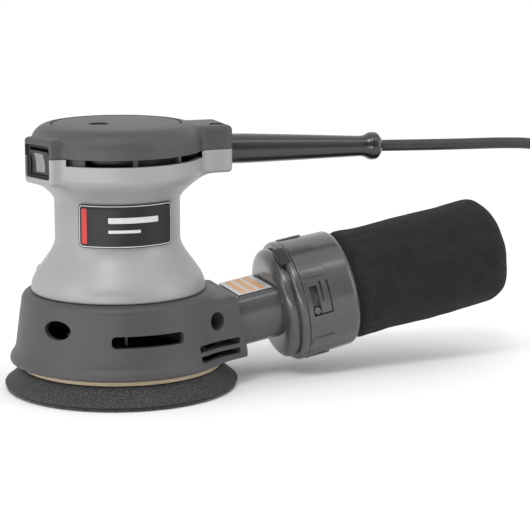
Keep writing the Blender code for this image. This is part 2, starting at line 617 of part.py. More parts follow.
def screw_depth(x, z):
    """How far from the middle plane the housing's skin is at a screw."""
    return sqrt(housing_radius((z - HOUSING_BASE) / housing_scale) ** 2 - x * x)


relief_start = Vector((CORD_BOX_REACH - 6.0, 0, RELIEF_LEVEL))
relief_along = Vector((cos(radians(RELIEF_DROOP)), 0, -sin(radians(RELIEF_DROOP))))
RELIEF_GROOVE = 0.9
relief_hole = [(RELIEF_RADIUS - RELIEF_GROOVE + GAP, relief_start, relief_start + relief_along * 12)]

for side, name in ((-1, "left"), (1, "right")):
    half = turned(f"housing_{name}", housing_solid, silver_plastic)
    join(half, box(f"cord_box_lower_{name}", (RIM_RADIUS - 16, -cord_half, CORD_BOX_BASE),
                   (CORD_BOX_REACH, cord_half, SPLIT), rounding=2.5),
         box(f"switch_block_lower_{name}", (RIM_RADIUS - 12, -switch_half, switch_low),
             (SWITCH_REACH, switch_half, SPLIT - SWITCH_MIDDLE), parent=switch_axis, rounding=2.0),
         solver="MANIFOLD")
    cut(half, turned(f"housing_hollow_{name}", housing_hollow),
        box(f"cord_box_hollow_{name}", (RIM_RADIUS - 18, BOX_WALL - cord_half, CORD_BOX_BASE + BOX_WALL),
            (CORD_BOX_REACH - BOX_WALL, cord_half - BOX_WALL, SPLIT + 3)),
        box(f"switch_pocket_{name}", (RIM_RADIUS - 15, -POCKET_WIDTH / 2, -POCKET_HEIGHT / 2),
            (SWITCH_REACH + 3, POCKET_WIDTH / 2, POCKET_HEIGHT / 2), parent=switch_axis),
        rods(f"relief_hole_{name}", relief_hole, sides=MEDIUM), solver="MANIFOLD")
    bosses = rods(f"bosses_{name}", [(HEAD_BOSS, (x, -60, z), (x, 60, z)) for x, z in housing_screws])
    boolean(bosses, "INTERSECT", turned(f"boss_limit_{name}", [(r - 0.4 if r else 0, z) for r, z in housing_solid]))
    join(half, bosses, solver="MANIFOLD")
    holes = [(SCREW_RADIUS + GAP, (x, -14, z), (x, 60, z)) for x, z in housing_screws]
    holes += [(HEAD_RADIUS + GAP, (x, screw_depth(x, z) - 5, z), (x, 60, z)) for x, z in housing_screws]
    for index, hole in enumerate(holes):
        cut(half, rods(f"screw_hole_{name}_{index + 1}", [hole]), solver="MANIFOLD")
    keep = (-90, GAP / 2, HOUSING_BASE - 10), (90, 90, CAP_TOP + 10)
    boolean(half, "INTERSECT", box(f"keep_{name}", *[(x, y * side, z) for x, y, z in keep]), solver="MANIFOLD")

for index, (x, z) in enumerate(housing_screws):
    head = screw_depth(x, z) - 5 + GAP
    screw = turned(f"housing_screw_{index + 1}", [
        (0, head + 1.0), (1.3, head + 1.0), (1.6, head + 2.2), (HEAD_RADIUS, head + 2.2), (HEAD_RADIUS, head),
        (SCREW_RADIUS, head), (SCREW_RADIUS, -13), (0, -13),
    ], steel, SMALL)
    screw.location = (x * MM, 0, z * MM)
    screw.rotation_euler = (-pi / 2, 0, 0)

# ---- cap: top moulding with the upper halves of the cord box and the switch block ----
DISC_THICKNESS = 1.7
disc_floor = CAP_TOP - DISC_THICKNESS
cap = turned("top_cap", [
    (0, CAP_TOP),
    *reversed(arc((DISC_RADIUS + 1.2, CAP_BASE + 3.6), (CAP_RADIUS - DISC_RADIUS - 1.2, CAP_HEIGHT - 3.6), 0, 90, 5)),
    (CAP_RADIUS, CAP_BASE), (0, CAP_BASE),
], charcoal_plastic)
join(cap, box("cord_box_upper", (RIM_RADIUS - 16, -cord_half, SPLIT + GAP),
              (CORD_BOX_REACH, cord_half, CORD_BOX_TOP), rounding=2.5),
     box("switch_block_upper", (RIM_RADIUS - 12, -switch_half, SPLIT + GAP - SWITCH_MIDDLE),
         (SWITCH_REACH, switch_half, SWITCH_HEIGHT / 2), parent=switch_axis, rounding=2.0), solver="MANIFOLD")
cap_inner = CAP_RADIUS - HOUSING_WALL
cap_ceiling = disc_floor - 2.2
cut(cap, turned("cap_hollow", [
    (0, cap_ceiling), (DISC_RADIUS - 1, cap_ceiling), (cap_inner - 1.5, CAP_BASE + 6.5), (cap_inner, CAP_BASE + 4),
    (cap_inner, CAP_BASE - 3), (0, CAP_BASE - 3),
]), disc("disc_recess", DISC_RADIUS + 0.5, disc_floor, CAP_TOP + 3),
    box("cord_box_hollow_upper", (RIM_RADIUS - 18, BOX_WALL - cord_half, SPLIT - 3),
        (CORD_BOX_REACH - BOX_WALL, cord_half - BOX_WALL, CORD_BOX_TOP - BOX_WALL)),
    box("switch_pocket_upper", (RIM_RADIUS - 15, -POCKET_WIDTH / 2, -POCKET_HEIGHT / 2),
        (SWITCH_REACH + 3, POCKET_WIDTH / 2, POCKET_HEIGHT / 2), parent=switch_axis),
    rods("relief_hole_upper", relief_hole, sides=MEDIUM), solver="MANIFOLD")

CAP_SCREW = (-10.9, -5.5)
CAP_SCREW_HOLE = 5.0
cap_disc = turned("cap_disc", [
    (0, CAP_TOP + 0.5), (DISC_RADIUS * 0.7, CAP_TOP + 0.3), (DISC_RADIUS - 0.6, CAP_TOP),
    (DISC_RADIUS, CAP_TOP - 0.6), (DISC_RADIUS, disc_floor + GAP), (0, disc_floor + GAP),
], charcoal_plastic)
cut(cap_disc, disc("cap_screw_hole", CAP_SCREW_HOLE, disc_floor - 1, CAP_TOP + 3, sides=20, centre=CAP_SCREW))
cut(cap, disc("cap_screw_way", SCREW_RADIUS + GAP, cap_ceiling - 3, CAP_TOP, sides=SMALL, centre=CAP_SCREW),
    solver="MANIFOLD")
turned("cap_screw", [
    (0, disc_floor + 1.0), (1.0, disc_floor + 1.0), (1.2, disc_floor + 1.3), (HEAD_RADIUS, disc_floor + 1.2),
    (HEAD_RADIUS, disc_floor + GAP), (SCREW_RADIUS, disc_floor + GAP), (SCREW_RADIUS, UPPER_BRACKET + 8),
    (0, UPPER_BRACKET + 8),
], steel, SMALL, centre=CAP_SCREW)

# ---- vent ring: louvred band between the housing and the cap, open where the switch passes ----
VENT_RADIUS = RIM_RADIUS - HOUSING_WALL - 0.4
vent_ring = ring("vent_ring", VENT_RADIUS, VENT_RADIUS - 2.2, HOUSING_TOP - 4.2, CAP_BASE + 3.4, silver_plastic)
VENT_WINDOWS = 8
vent_step = 300 / VENT_WINDOWS
for index in range(VENT_WINDOWS):
    start = SWITCH_ANGLE + 30 + index * vent_step
    cut(vent_ring, extruded(f"vent_window_{index + 1}", sector(VENT_RADIUS - 5, VENT_RADIUS + 4, start + 2,
                                                               start + vent_step - 2),
                            HOUSING_TOP - 0.6, CAP_BASE + 0.6))
cut(vent_ring, box("vent_switch_gap", (20, -switch_half, -20), (60, switch_half, 20), parent=switch_axis))

# ---- switch: frame in the block's mouth, rocker on its pin, and the switch body behind ----
FRAME_SET_BACK = 0.8
FRAME_DEPTH = 7.0
frame_face = SWITCH_REACH - FRAME_SET_BACK
frame_half, frame_high = POCKET_WIDTH / 2 - GAP, POCKET_HEIGHT / 2 - GAP
opening_half, opening_high = ROCKER_WIDTH / 2 + 0.5, ROCKER_HEIGHT / 2 + 0.9
switch_frame = box("switch_frame", (frame_face - FRAME_DEPTH, -frame_half, -frame_high),
                   (frame_face, frame_half, frame_high), black_plastic, switch_axis)
cut(switch_frame, box("switch_frame_opening", (frame_face - 20, -opening_half, -opening_high),
                      (frame_face + 5, opening_half, opening_high), parent=switch_axis))
ROCKER_PIVOT = frame_face - 5.0
rocker_axis = bpy.data.objects.new("rocker_axis", None)
parts.objects.link(rocker_axis)
rocker_axis.parent = switch_axis
rocker_axis.location = (ROCKER_PIVOT * MM, 0, 0)
ROCKER_FACE = 3.4            # from the pivot to the middle of the dished face
rocker_half, rocker_high = ROCKER_WIDTH / 2, ROCKER_HEIGHT / 2
ROCKER_REST = 7.0            # degrees that the rocker leans when switched off
rocker = box("switch_rocker", (-2.6, -rocker_half, -rocker_high), (ROCKER_FACE + 1.2, rocker_half, rocker_high),
             grey_plastic, rocker_axis)
DISH_RADIUS = 22.0
cut(rocker, rods("rocker_dish", [
    (DISH_RADIUS, (ROCKER_FACE + DISH_RADIUS, -20, 0), (ROCKER_FACE + DISH_RADIUS, 20, 0)),
], parent=rocker_axis, sides=48), rods("rocker_bore", [(1.2 + GAP, (0, -20, 0), (0, 20, 0))], parent=rocker_axis))
rocker.rotation_euler = (0, radians(ROCKER_REST), 0)
rods("rocker_pin", [(1.2, (ROCKER_PIVOT, 0.1 - opening_half, 0), (ROCKER_PIVOT, opening_half - 0.1, 0))], steel,
     switch_axis)
box("switch_body", (frame_face - FRAME_DEPTH - 13, -frame_half + 1, -frame_high + 2),
    (frame_face - FRAME_DEPTH - 3, frame_half - 1, frame_high - 2), black_plastic, switch_axis)

# ---- badge: a plain plate that follows the neck ----
BADGE_MIDDLE, BADGE_HALF_TURN = -95.5, 45.0
BADGE_LOW, BADGE_HIGH = 27.0, 50.0
badge_levels = [BADGE_LOW, 29.0, 48.0, BADGE_HIGH]
badge_line = [(housing_radius(v) + GAP, HOUSING_BASE + v * housing_scale) for v in badge_levels]
badge = turned("badge_plate", [(r + 0.9, z) for r, z in reversed(badge_line)] + badge_line, black_plastic)
boolean(badge, "INTERSECT", extruded("badge_ends", sector(
    NECK_RADIUS - 8, NECK_RADIUS + 12, BADGE_MIDDLE - BADGE_HALF_TURN, BADGE_MIDDLE + BADGE_HALF_TURN,
), HOUSING_BASE, HOUSING_TOP))

# ---- strain relief: a long tapered sleeve with a bead at its tip ----
relief = turned("strain_relief", [
    (0, RELIEF_LENGTH), (RELIEF_TIP_RADIUS - 0.4, RELIEF_LENGTH), (RELIEF_TIP_RADIUS + 2.2, RELIEF_LENGTH - 3.5),
    (RELIEF_TIP_RADIUS + 1.8, RELIEF_LENGTH - 6.5), (RELIEF_TIP_RADIUS, RELIEF_LENGTH - 10.5),
    (RELIEF_RADIUS - 1.0, RELIEF_LENGTH * 0.45), (RELIEF_RADIUS, RELIEF_LENGTH * 0.12), (RELIEF_RADIUS, GAP),
    (RELIEF_RADIUS - RELIEF_GROOVE, GAP), (RELIEF_RADIUS - RELIEF_GROOVE, -BOX_WALL - GAP),
    (RELIEF_RADIUS, -BOX_WALL - GAP), (RELIEF_RADIUS, -7), (0, -7),
], black_rubber, MEDIUM)
relief.location = (CORD_BOX_REACH * MM, 0, (RELIEF_LEVEL - 6 * sin(radians(RELIEF_DROOP))) * MM)
relief.rotation_euler = (0, radians(90 + RELIEF_DROOP), 0)

# ---- dust canister: tube, adapter with its flange and spigot, seal and label ----
dust_tube = extruded("dust_tube", dust_outline(0), -TUBE_INSERT, ADAPTER_START + 6, smoke_plastic, dust_axis)
cut(dust_tube, extruded("dust_tube_bore", dust_outline(-TUBE_WALL), -60, 60, parent=dust_axis))
box("tube_label", (-TUBE_TOP - GAP - 0.35, -TUBE_HALF_WIDTH + 4.6, 1.0),
    (-TUBE_TOP - GAP, TUBE_HALF_WIDTH - 4.6, ADAPTER_START - 1.2), label_film, dust_axis)

flange_start = ADAPTER_START + ADAPTER_DEPTH - 4.2
flange_end = ADAPTER_START + ADAPTER_DEPTH
SPIGOT_RADIUS = RING_END_RADIUS - RING_WALL - 0.5
SPIGOT_LENGTH = 14.0
adapter = turned("bag_adapter", [
    (0, flange_end + SPIGOT_LENGTH), (SPIGOT_RADIUS, flange_end + SPIGOT_LENGTH), (SPIGOT_RADIUS, flange_end),
    (FLANGE_RADIUS - 0.5, flange_end), (FLANGE_RADIUS, flange_end - 0.5), (FLANGE_RADIUS, flange_start + 0.5),
    (FLANGE_RADIUS - 0.5, flange_start), (ADAPTER_RADIUS + 0.8, flange_start),
    *reversed(arc((ADAPTER_RADIUS - 3.4, ADAPTER_START + 3.4), (3.4, 3.4), 270, 360, 3)),
    (0, ADAPTER_START),
], smoke_plastic, BIG, dust_axis)
cut(adapter, disc("adapter_hollow", SPIGOT_RADIUS - 2.2, ADAPTER_START + 3.0, flange_end + 40, parent=dust_axis),
    extruded("adapter_mouth", dust_outline(GAP), ADAPTER_START - 5, ADAPTER_START + 10, parent=dust_axis))
turned("tube_seal", [
    (SPIGOT_RADIUS - 2.2 - GAP, ADAPTER_START + 10.5), (SPIGOT_RADIUS - 2.2 - GAP, ADAPTER_START + 6.0 + GAP),
    (SPIGOT_RADIUS - 7, ADAPTER_START + 6.0 + GAP), (SPIGOT_RADIUS - 7, ADAPTER_START + 10.5),
], black_rubber, MEDIUM, dust_axis)
PIN_LEVEL = flange_end + 5.6
PIN_ANGLE = -88.0            # in the dust axis' own plan, where -90 faces the left side
foot = Vector((0, 0, PIN_LEVEL))
for index in range(3):
    turn = radians(PIN_ANGLE + 120 * index)
    out = Vector((cos(turn), sin(turn), 0))
    join(adapter, rods(f"bayonet_pin_{index + 1}", [
        (1.9, foot + out * (SPIGOT_RADIUS - 1.0), foot + out * (RING_RADIUS + 0.1)),
    ], parent=dust_axis))

# ---- bag ring with its bayonet windows and grip ribs, hoop and bag, turned together ----
ring_start = flange_end + 0.4
ring_end = ring_start + RING_LENGTH
BAG_NECK = RING_END_RADIUS - RING_WALL - 1.8
bag_ring = turned("bag_ring", [
    (BAG_NECK + GAP, ring_end), (RING_END_RADIUS - 2.2, ring_end), (RING_END_RADIUS - 0.5, ring_end - 0.9),
    (RING_END_RADIUS, ring_end - 3), (RING_RADIUS, ring_start), (SPIGOT_RADIUS + GAP, ring_start),
    (SPIGOT_RADIUS + GAP, ring_end - 2), (BAG_NECK + GAP, ring_end - 2),
], smoke_plastic, BIG, dust_axis)
RIB_ANGLES = (-190, -158, -126, -54, -18, 50, 86, 122)
rib_blocks = bmesh.new()
for angle in RIB_ANGLES:
    turn = Matrix.Rotation(radians(angle), 4, "Z")
    box_mesh(rib_blocks, (RING_RADIUS - 2.0, -2.9, ring_start + 0.6), (RING_RADIUS + 0.55, 2.9, ring_start + 14.5),
             turn)
join(bag_ring, add("grip_ribs", mesh_of("grip_ribs", rib_blocks), parent=dust_axis))
for index in range(3):
    start = PIN_ANGLE + 120 * index - TWIST - 4.6
    cut(bag_ring, extruded(f"bayonet_window_{index + 1}", sector(SPIGOT_RADIUS - 3, RING_RADIUS + 4, start,
                                                                 start + TWIST + 9.2),
                           PIN_LEVEL - 2.3, PIN_LEVEL + 2.3, parent=dust_axis))

bag_start = ring_end - 7.0
bag_end = ring_start + BAG_LENGTH + 31.0
BAG_WALL = 1.4
bag_round = arc((BAG_RADIUS - 13, bag_end - 12), (13, 12), 0, 90, 4)
bag = turned("filter_bag", [
    (0, bag_end), *reversed(bag_round), (BAG_RADIUS, ring_end + 4), (BAG_NECK, ring_end + GAP), (BAG_NECK, bag_start),
    (BAG_NECK - BAG_WALL, bag_start), (BAG_NECK - BAG_WALL, ring_end + GAP), (BAG_RADIUS - BAG_WALL, ring_end + 5),
    *[(r - BAG_WALL * (0.9 if r > 20 else 0), z - BAG_WALL) for r, z in bag_round[:-1]], (0, bag_end - BAG_WALL),
], bag_fabric, BIG, dust_axis)
ring("bag_hoop", BAG_NECK - BAG_WALL - GAP, BAG_NECK - BAG_WALL - 2.2, bag_start, ring_end - 0.5, steel, MEDIUM,
     dust_axis)

# ---- power lead: free stretch, coil with its tie, tail and two-blade plug ----
lead("power_cord", smooth_route(CORD_ROUTE, 15.0), CORD_RADIUS, black_rubber)
lead("cord_tail", smooth_route(TAIL_ROUTE, 12.0), CORD_RADIUS, black_rubber)
coil_inner, coil_outer = COIL_RADIUS - COIL_WIDTH / 2, COIL_RADIUS + COIL_WIDTH / 2
coil_top = COIL_BASE + COIL_HEIGHT
turned("cord_coil", [
    (coil_outer - 2.5, coil_top), (coil_outer, coil_top - 2.5), (coil_outer, COIL_BASE + 2.5),
    (coil_outer - 2.5, COIL_BASE), (coil_inner + 2.5, COIL_BASE), (coil_inner, COIL_BASE + 2.5),
    (coil_inner, coil_top - 2.5), (coil_inner + 2.5, coil_top),
], black_rubber, MEDIUM, centre=COIL_CENTRE)
tie_inner = coil_inner * cos(pi / MEDIUM) - 2 * GAP
tie = box("coil_tie", (COIL_CENTRE[0] - 4, COIL_CENTRE[1] - coil_outer - GAP - TIE_THICKNESS, 0),
          (COIL_CENTRE[0] + 4, COIL_CENTRE[1] - tie_inner + TIE_THICKNESS, coil_top + GAP + TIE_THICKNESS),
          grey_plastic)
cut(tie, box("coil_tie_bore", (COIL_CENTRE[0] - 9, COIL_CENTRE[1] - coil_outer - GAP, TIE_THICKNESS),
             (COIL_CENTRE[0] + 9, COIL_CENTRE[1] - tie_inner, coil_top + GAP)))

PLUG_WIDTH, PLUG_DEPTH, PLUG_THICKNESS = 23.0, 24.0, 14.0
PLUG_RELIEF = 22.0
BLADE_SPACING = 12.7
plug_x, plug_y, plug_z = TAIL_ROUTE[-1][0], TAIL_ROUTE[-1][1] - 3 * GAP, PLUG_THICKNESS / 2
body_start = plug_y - PLUG_RELIEF
plug = box("plug_body", (plug_x - PLUG_WIDTH / 2, body_start - PLUG_DEPTH, 0),
           (plug_x + PLUG_WIDTH / 2, body_start, PLUG_THICKNESS), black_rubber, rounding=3.2)
sleeve = turned("plug_relief", [
    (0, PLUG_RELIEF + 4), (PLUG_THICKNESS / 2 - 0.8, PLUG_RELIEF + 4), (PLUG_THICKNESS / 2 - 0.8, PLUG_RELIEF),
    (CORD_RADIUS + 1.2, 0), (0, 0),
], sides=20)
sleeve.location = (plug_x * MM, plug_y * MM, plug_z * MM)
sleeve.rotation_euler = (pi / 2, 0, 0)
join(plug, sleeve)
for index, side in enumerate((-1, 1)):
    middle = plug_x + side * BLADE_SPACING / 2
    front = body_start - PLUG_DEPTH - GAP
    box(f"plug_blade_{index + 1}", (middle - 0.75, front - 16, plug_z - 3.2), (middle + 0.75, front, plug_z + 3.2),
        brass, rounding=0.3)
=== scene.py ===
"""Looks of a palm-grip random-orbit sander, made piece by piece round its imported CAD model."""
from math import atan2, cos, hypot, pi, radians, sin, sqrt

import bmesh
import bpy
import numpy as np
from mathutils import Matrix, Vector, noise


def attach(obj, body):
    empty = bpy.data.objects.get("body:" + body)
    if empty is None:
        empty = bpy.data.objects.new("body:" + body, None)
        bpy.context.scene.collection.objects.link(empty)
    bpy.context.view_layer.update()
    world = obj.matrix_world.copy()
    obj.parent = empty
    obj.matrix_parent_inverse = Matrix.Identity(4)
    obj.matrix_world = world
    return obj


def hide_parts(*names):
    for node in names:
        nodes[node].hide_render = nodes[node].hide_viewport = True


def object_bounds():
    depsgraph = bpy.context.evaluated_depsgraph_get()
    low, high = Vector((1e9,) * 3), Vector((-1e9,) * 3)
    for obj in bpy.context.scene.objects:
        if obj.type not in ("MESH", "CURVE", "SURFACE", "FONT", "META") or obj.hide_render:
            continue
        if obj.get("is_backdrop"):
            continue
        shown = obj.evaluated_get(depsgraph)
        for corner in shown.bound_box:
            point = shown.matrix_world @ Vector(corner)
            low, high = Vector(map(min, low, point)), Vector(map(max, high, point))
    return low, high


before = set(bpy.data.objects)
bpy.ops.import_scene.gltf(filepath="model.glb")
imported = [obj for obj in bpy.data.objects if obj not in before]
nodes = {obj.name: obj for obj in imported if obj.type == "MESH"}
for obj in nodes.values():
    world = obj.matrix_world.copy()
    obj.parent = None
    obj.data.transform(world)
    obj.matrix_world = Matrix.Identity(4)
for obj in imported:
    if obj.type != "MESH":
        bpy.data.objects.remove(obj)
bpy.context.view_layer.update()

scene = bpy.context.scene

# ---- View ----
# The tool stands on a pale studio floor, seen from its front left and a little above. A broad soft
# sun stands in for the ceiling's lights, with a long panel on each side, a strip overhead and a low card.
CAMERA_DROP, CAMERA_TURN = 10.9, -19
eye = bpy.data.objects.new("camera", bpy.data.cameras.new("camera"))
scene.collection.objects.link(eye)
scene.camera = eye
eye.data.lens = 135.85
eye.location = (-0.26698, -1.01597, 0.26633)
eye.rotation_euler = (radians(90 - CAMERA_DROP), 0, radians(CAMERA_TURN))

scene.view_settings.view_transform = "Standard"
sky = bpy.data.worlds.new("studio")
scene.world = sky
sky.use_nodes = True


class Wire:
    """One socket in a material's nodes. A sum written on it adds its Math nodes."""

    def __init__(self, tree, socket):
        self.tree = tree
        self.socket = socket

    def node(self, kind, settings=None, inputs=None, output=0):
        made = self.tree.nodes.new(kind)
        for name, value in (settings or {}).items():
            if name == "stops":
                ramp = made.color_ramp
                while len(ramp.elements) < len(value):
                    ramp.elements.new(1)
                for stop, (at, colour) in zip(ramp.elements, value):
                    stop.position = at
                    stop.color = (*colour, 1)
            else:
                setattr(made, name, value)
        for name, value in (inputs or {}).items():
            if isinstance(value, Wire):
                self.tree.links.new(value.socket, made.inputs[name])
            else:
                made.inputs[name].default_value = value
        return Wire(self.tree, made.outputs[output])

    def math(self, operation, first, second):
        return self.node("ShaderNodeMath", {"operation": operation}, {0: first, 1: second})

    def __add__(self, other):
        return self.math("ADD", self, other)

    def __sub__(self, other):
        return self.math("SUBTRACT", self, other)

    def __rsub__(self, other):
        return self.math("SUBTRACT", other, self)

    def __mul__(self, other):
        return self.math("MULTIPLY", self, other)

    def noise(self, size, detail=2.0, roughness=0.5):
        """Cloudy variation whose patches are about that many millimetres across."""
        return self.node("ShaderNodeTexNoise", None, {
            "Vector": self, "Scale": 1000 / size, "Detail": detail, "Roughness": roughness})

    def ramp(self, *stops):
        """This value spread over (place, grey or colour) stops."""
        stops = [(at, (c, c, c) if isinstance(c, (int, float)) else c) for at, c in stops]
        return self.node("ShaderNodeValToRGB", {"stops": stops}, {"Fac": self})

    def mix(self, low, high):
        """A colour between two others, with this value as its share of the second."""
        low, high = [(*c, 1) if isinstance(c, tuple) else c for c in (low, high)]
        return self.node("ShaderNodeMix", {"data_type": "RGBA"}, {0: self, 6: low, 7: high}, 2)

    def bump(self, depth):
        """A normal from this height, which stands for a depth in millimetres."""
        return self.node("ShaderNodeBump", None, {"Height": self, "Distance": depth / 1000, "Strength": 1.0})


def feed(shader, **wires):
    """Plugs each wire into the shader's socket of that name."""
    for socket, wire in wires.items():
        wire.tree.links.new(wire.socket, shader.inputs[socket.replace("_", " ").title()])


def finish(name, coordinates="Object", drift=None, gloss=None, grain=None, **sockets):
    """A new material, its shader and coordinates. Drift, gloss and grain begin with a patch's size in millimetres."""
    made = bpy.data.materials.new(name)
    made.use_nodes = True
    tree = made.node_tree
    shader = tree.nodes["Principled BSDF"]
    for socket, value in sockets.items():
        shader.inputs[socket.replace("_", " ").title().replace("Ior", "IOR")].default_value = value
    place = Wire(tree, tree.nodes.new("ShaderNodeTexCoord").outputs[coordinates])
    if drift:
        feed(shader, base_color=place.noise(drift[0]).mix(*drift[1:]))
    if gloss:
        feed(shader, roughness=place.noise(gloss[0]) * gloss[1] + gloss[2])
    if grain:
        feed(shader, normal=place.noise(grain[0]).bump(grain[1]))
    return made, shader, place


# The studio's white walls are lit all round, and the room behind the camera is dim.
ways = Wire(sky.node_tree, sky.node_tree.nodes.new("ShaderNodeTexCoord").outputs["Generated"])
facing = ways.node("ShaderNodeVectorMath", {"operation": "DOT_PRODUCT"},
                   {0: ways, 1: (-0.29, -0.94, 0.05)}, "Value")
walls = facing.ramp((0.35, 1.0), (0.85, 0.22))
background = sky.node_tree.nodes["Background"]
sky.node_tree.links.new(walls.socket, background.inputs["Color"])
background.inputs["Strength"].default_value = 0.98

floor_paint = finish("floor_paint", drift=(900, (0.945, 0.945, 0.945), (0.955, 0.955, 0.955)), roughness=0.7)[0]
bm = bmesh.new()
bmesh.ops.create_grid(bm, x_segments=1, y_segments=1, size=12)
mesh = bpy.data.meshes.new("floor")
bm.to_mesh(mesh)
bm.free()
floor = bpy.data.objects.new("floor", mesh)
floor.location = (0, 0, -0.0003)
scene.collection.objects.link(floor)
mesh.materials.append(floor_paint)
floor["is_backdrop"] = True


def lamp(name, kind, energy, location, **settings):
    """A light that looks at the middle of the tool."""
    light = bpy.data.lights.new(name, kind)
    light.energy = energy
    for key, value in settings.items():
        setattr(light, key, value)
    made = bpy.data.objects.new(name, light)
    made.location = location
    made.rotation_euler = (Vector(location) - Vector((0.05, 0, 0.07))).to_track_quat("Z", "Y").to_euler()
    scene.collection.objects.link(made)


lamp("ceiling_sun", "SUN", 0.75, (-0.45, -0.6, 1.2), angle=radians(20))
for name, energy, location, wide, high in (
        ("left_panel", 5.0, (-1.3, -0.35, 0.55), 0.5, 1.3), ("right_panel", 4.0, (1.25, -0.9, 0.6), 0.4, 1.2),
        ("overhead_strip", 1.8, (0.15, -0.55, 1.1), 1.3, 0.16), ("low_card", 5.0, (-0.75, -0.95, 0.03), 1.2, 0.12)):
    lamp(name, "AREA", energy, location, size=wide, size_y=high, shape="RECTANGLE")

# ---- Power lead ----
# A two-core rubber mains lead, 6.3 mm thick and about 1.95 m long. It leaves the sleeve level, falls
# behind the bag and is wound in two flat layers, of four turns and three, tied, with its plug beside it.
MM = 0.001
CORD_RADIUS = 3.15
CORD_ROUTE = [
    (149.8, 0.0, 122.4), (165.0, 0.0, 122.0), (185.0, 0.0, 121.5), (205.0, 0.0, 121.1),
    (225.0, 0.0, 120.7), (243.0, 0.0, 119.4), (257.0, 0.0, 115.2), (268.0, 0.0, 107.0),
    (274.5, -0.2, 95.5), (277.5, -0.5, 82.0), (278.8, -0.8, 67.0), (280.0, -1.2, 52.5),
    (282.6, -1.8, 38.5), (288.0, -2.6, 25.6), (296.2, -3.2, 16.0), (306.0, -3.5, 11.6),
]
TAIL_ROUTE = [(377.4, -24.3, 4.1), (381.5, -34.2, 4.6), (383.9, -44.4, 5.9), (384.6, -54.4, 7.0)]
CORD_STEP = 6.0
COIL_CENTRE = (331.0, -49.2)
COIL_RADIUS, TURN_PITCH, LAYER_TURNS = 45.6, 6.4, 4
LAYER_LEVELS = (10.5, 4.1)
COIL_END, COIL_STEP = 2562, 8


def smooth(share):
    """A share from 0 to 1 that starts and stops gently."""
    share = min(max(share, 0.0), 1.0)
    return share * share * (3 - 2 * share)


def through(points, spacing):
    """Points about a spacing apart on the smooth curve through the given ones."""
    points = [Vector(p) for p in points]
    padded = [2 * points[0] - points[1], *points, 2 * points[-1] - points[-2]]
    out = []
    for a, b, c, d in zip(padded, padded[1:], padded[2:], padded[3:]):
        count = max(1, round((c - b).length / spacing))
        for i in range(count):
            t = i / count
            out.append(0.5 * (2 * b + (c - a) * t + (2 * a - 5 * b + 4 * c - d) * t ** 2
                              + (3 * b - a - 3 * c + d) * t ** 3))
    return out + [points[-1]]


def coil_point(turned):
    """Where the lead is in the coil after so many degrees, clockwise from the tool's right."""
    radius, level = COIL_RADIUS, LAYER_LEVELS[0]
    for step in range(LAYER_TURNS - 1):
        radius -= TURN_PITCH * smooth((turned - 360 * step - 250) / 110)
        radius += TURN_PITCH * smooth((turned - 360 * LAYER_TURNS - 360 * step - 30) / 110)
    radius += 6.75 * smooth((turned - 2520) / 62)
    level += (LAYER_LEVELS[1] - LAYER_LEVELS[0]) * smooth((turned - 1230) / 100)
    angle = radians(90 - turned)
    return Vector((COIL_CENTRE[0] + radius * cos(angle), COIL_CENTRE[1] + radius * sin(angle), level))


route = through([(144.0, 0.0, 122.55), *CORD_ROUTE, coil_point(0)], CORD_STEP)
route += [coil_point(angle) for angle in range(COIL_STEP, COIL_END, COIL_STEP)]
route += through([coil_point(COIL_END), *TAIL_ROUTE, (385.0, -62.0, 7.0)], CORD_STEP)
curve = bpy.data.curves.new("lead", "CURVE")
curve.dimensions = "3D"
curve.bevel_depth = CORD_RADIUS * MM
curve.bevel_resolution = 5
curve.use_fill_caps = True
spline = curve.splines.new("POLY")
spline.points.add(len(route) - 1)
for point, spot in zip(spline.points, route):
    point.co = (*(spot * MM), 1)
spline.use_smooth = True
lead = bpy.data.objects.new("lead", curve)
scene.collection.objects.link(lead)

lead_rubber = finish("lead_rubber", drift=(7, (0.017, 0.017, 0.018), (0.03, 0.03, 0.031)),
                     gloss=(1.2, 0.2, 0.33), grain=(0.9, 0.03))[0]
curve.materials.append(lead_rubber)


def turned(profile, sides=128, ring=False):
    """A mesh of a profile of (radius, height) in millimetres, turned about Z."""
    bm = bmesh.new()
    line = [bm.verts.new((r * MM, 0, z * MM)) for r, z in profile]
    edges = [bm.edges.new(pair) for pair in zip(line, line[1:] + line[:1] if ring else line[1:])]
    bmesh.ops.spin(bm, geom=line + edges, cent=(0, 0, 0), axis=(0, 0, 1), angle=2 * pi, steps=sides,
                   use_merge=True)
    bmesh.ops.remove_doubles(bm, verts=bm.verts, dist=0.000001)
    bmesh.ops.recalc_face_normals(bm, faces=bm.faces)
    return bm


def eased(corners, steps=4):
    """A profile whose corners, given as (radius, height, easing), are rounded by their easing."""
    out = []
    count = len(corners)
    for index, corner in enumerate(corners):
        if len(corner) == 2 or index in (0, count - 1):
            out.append(corner[:2])
            continue
        here = Vector(corner[:2])
        before, after = [Vector(corners[index + way][:2]) - here for way in (-1, 1)]
        start = here + before.normalized() * min(corner[2], before.length * 0.49)
        end = here + after.normalized() * min(corner[2], after.length * 0.49)
        for i in range(steps + 1):
            t = i / steps
            out.append(tuple(start * (1 - t) ** 2 + here * 2 * t * (1 - t) + end * t ** 2))
    return out


def block(low, high, easing=0.0, segments=3):
    """A mesh of a box between two corners in millimetres, with all its edges rounded."""
    bm = bmesh.new()
    low, high = Vector(low), Vector(high)
    bmesh.ops.create_cube(bm, size=1, matrix=Matrix.Translation((low + high) / 2 * MM)
                          @ Matrix.Diagonal((*((high - low) * MM), 1)))
    if easing:
        bmesh.ops.bevel(bm, geom=bm.edges, offset=easing * MM, segments=segments, profile=0.5, affect="EDGES",
                        material=-1)
    return bm


def laid(bm, matrix):
    """The mesh moved into a frame."""
    bmesh.ops.transform(bm, matrix=matrix, verts=bm.verts)
    return bm


SHARP = radians(38)


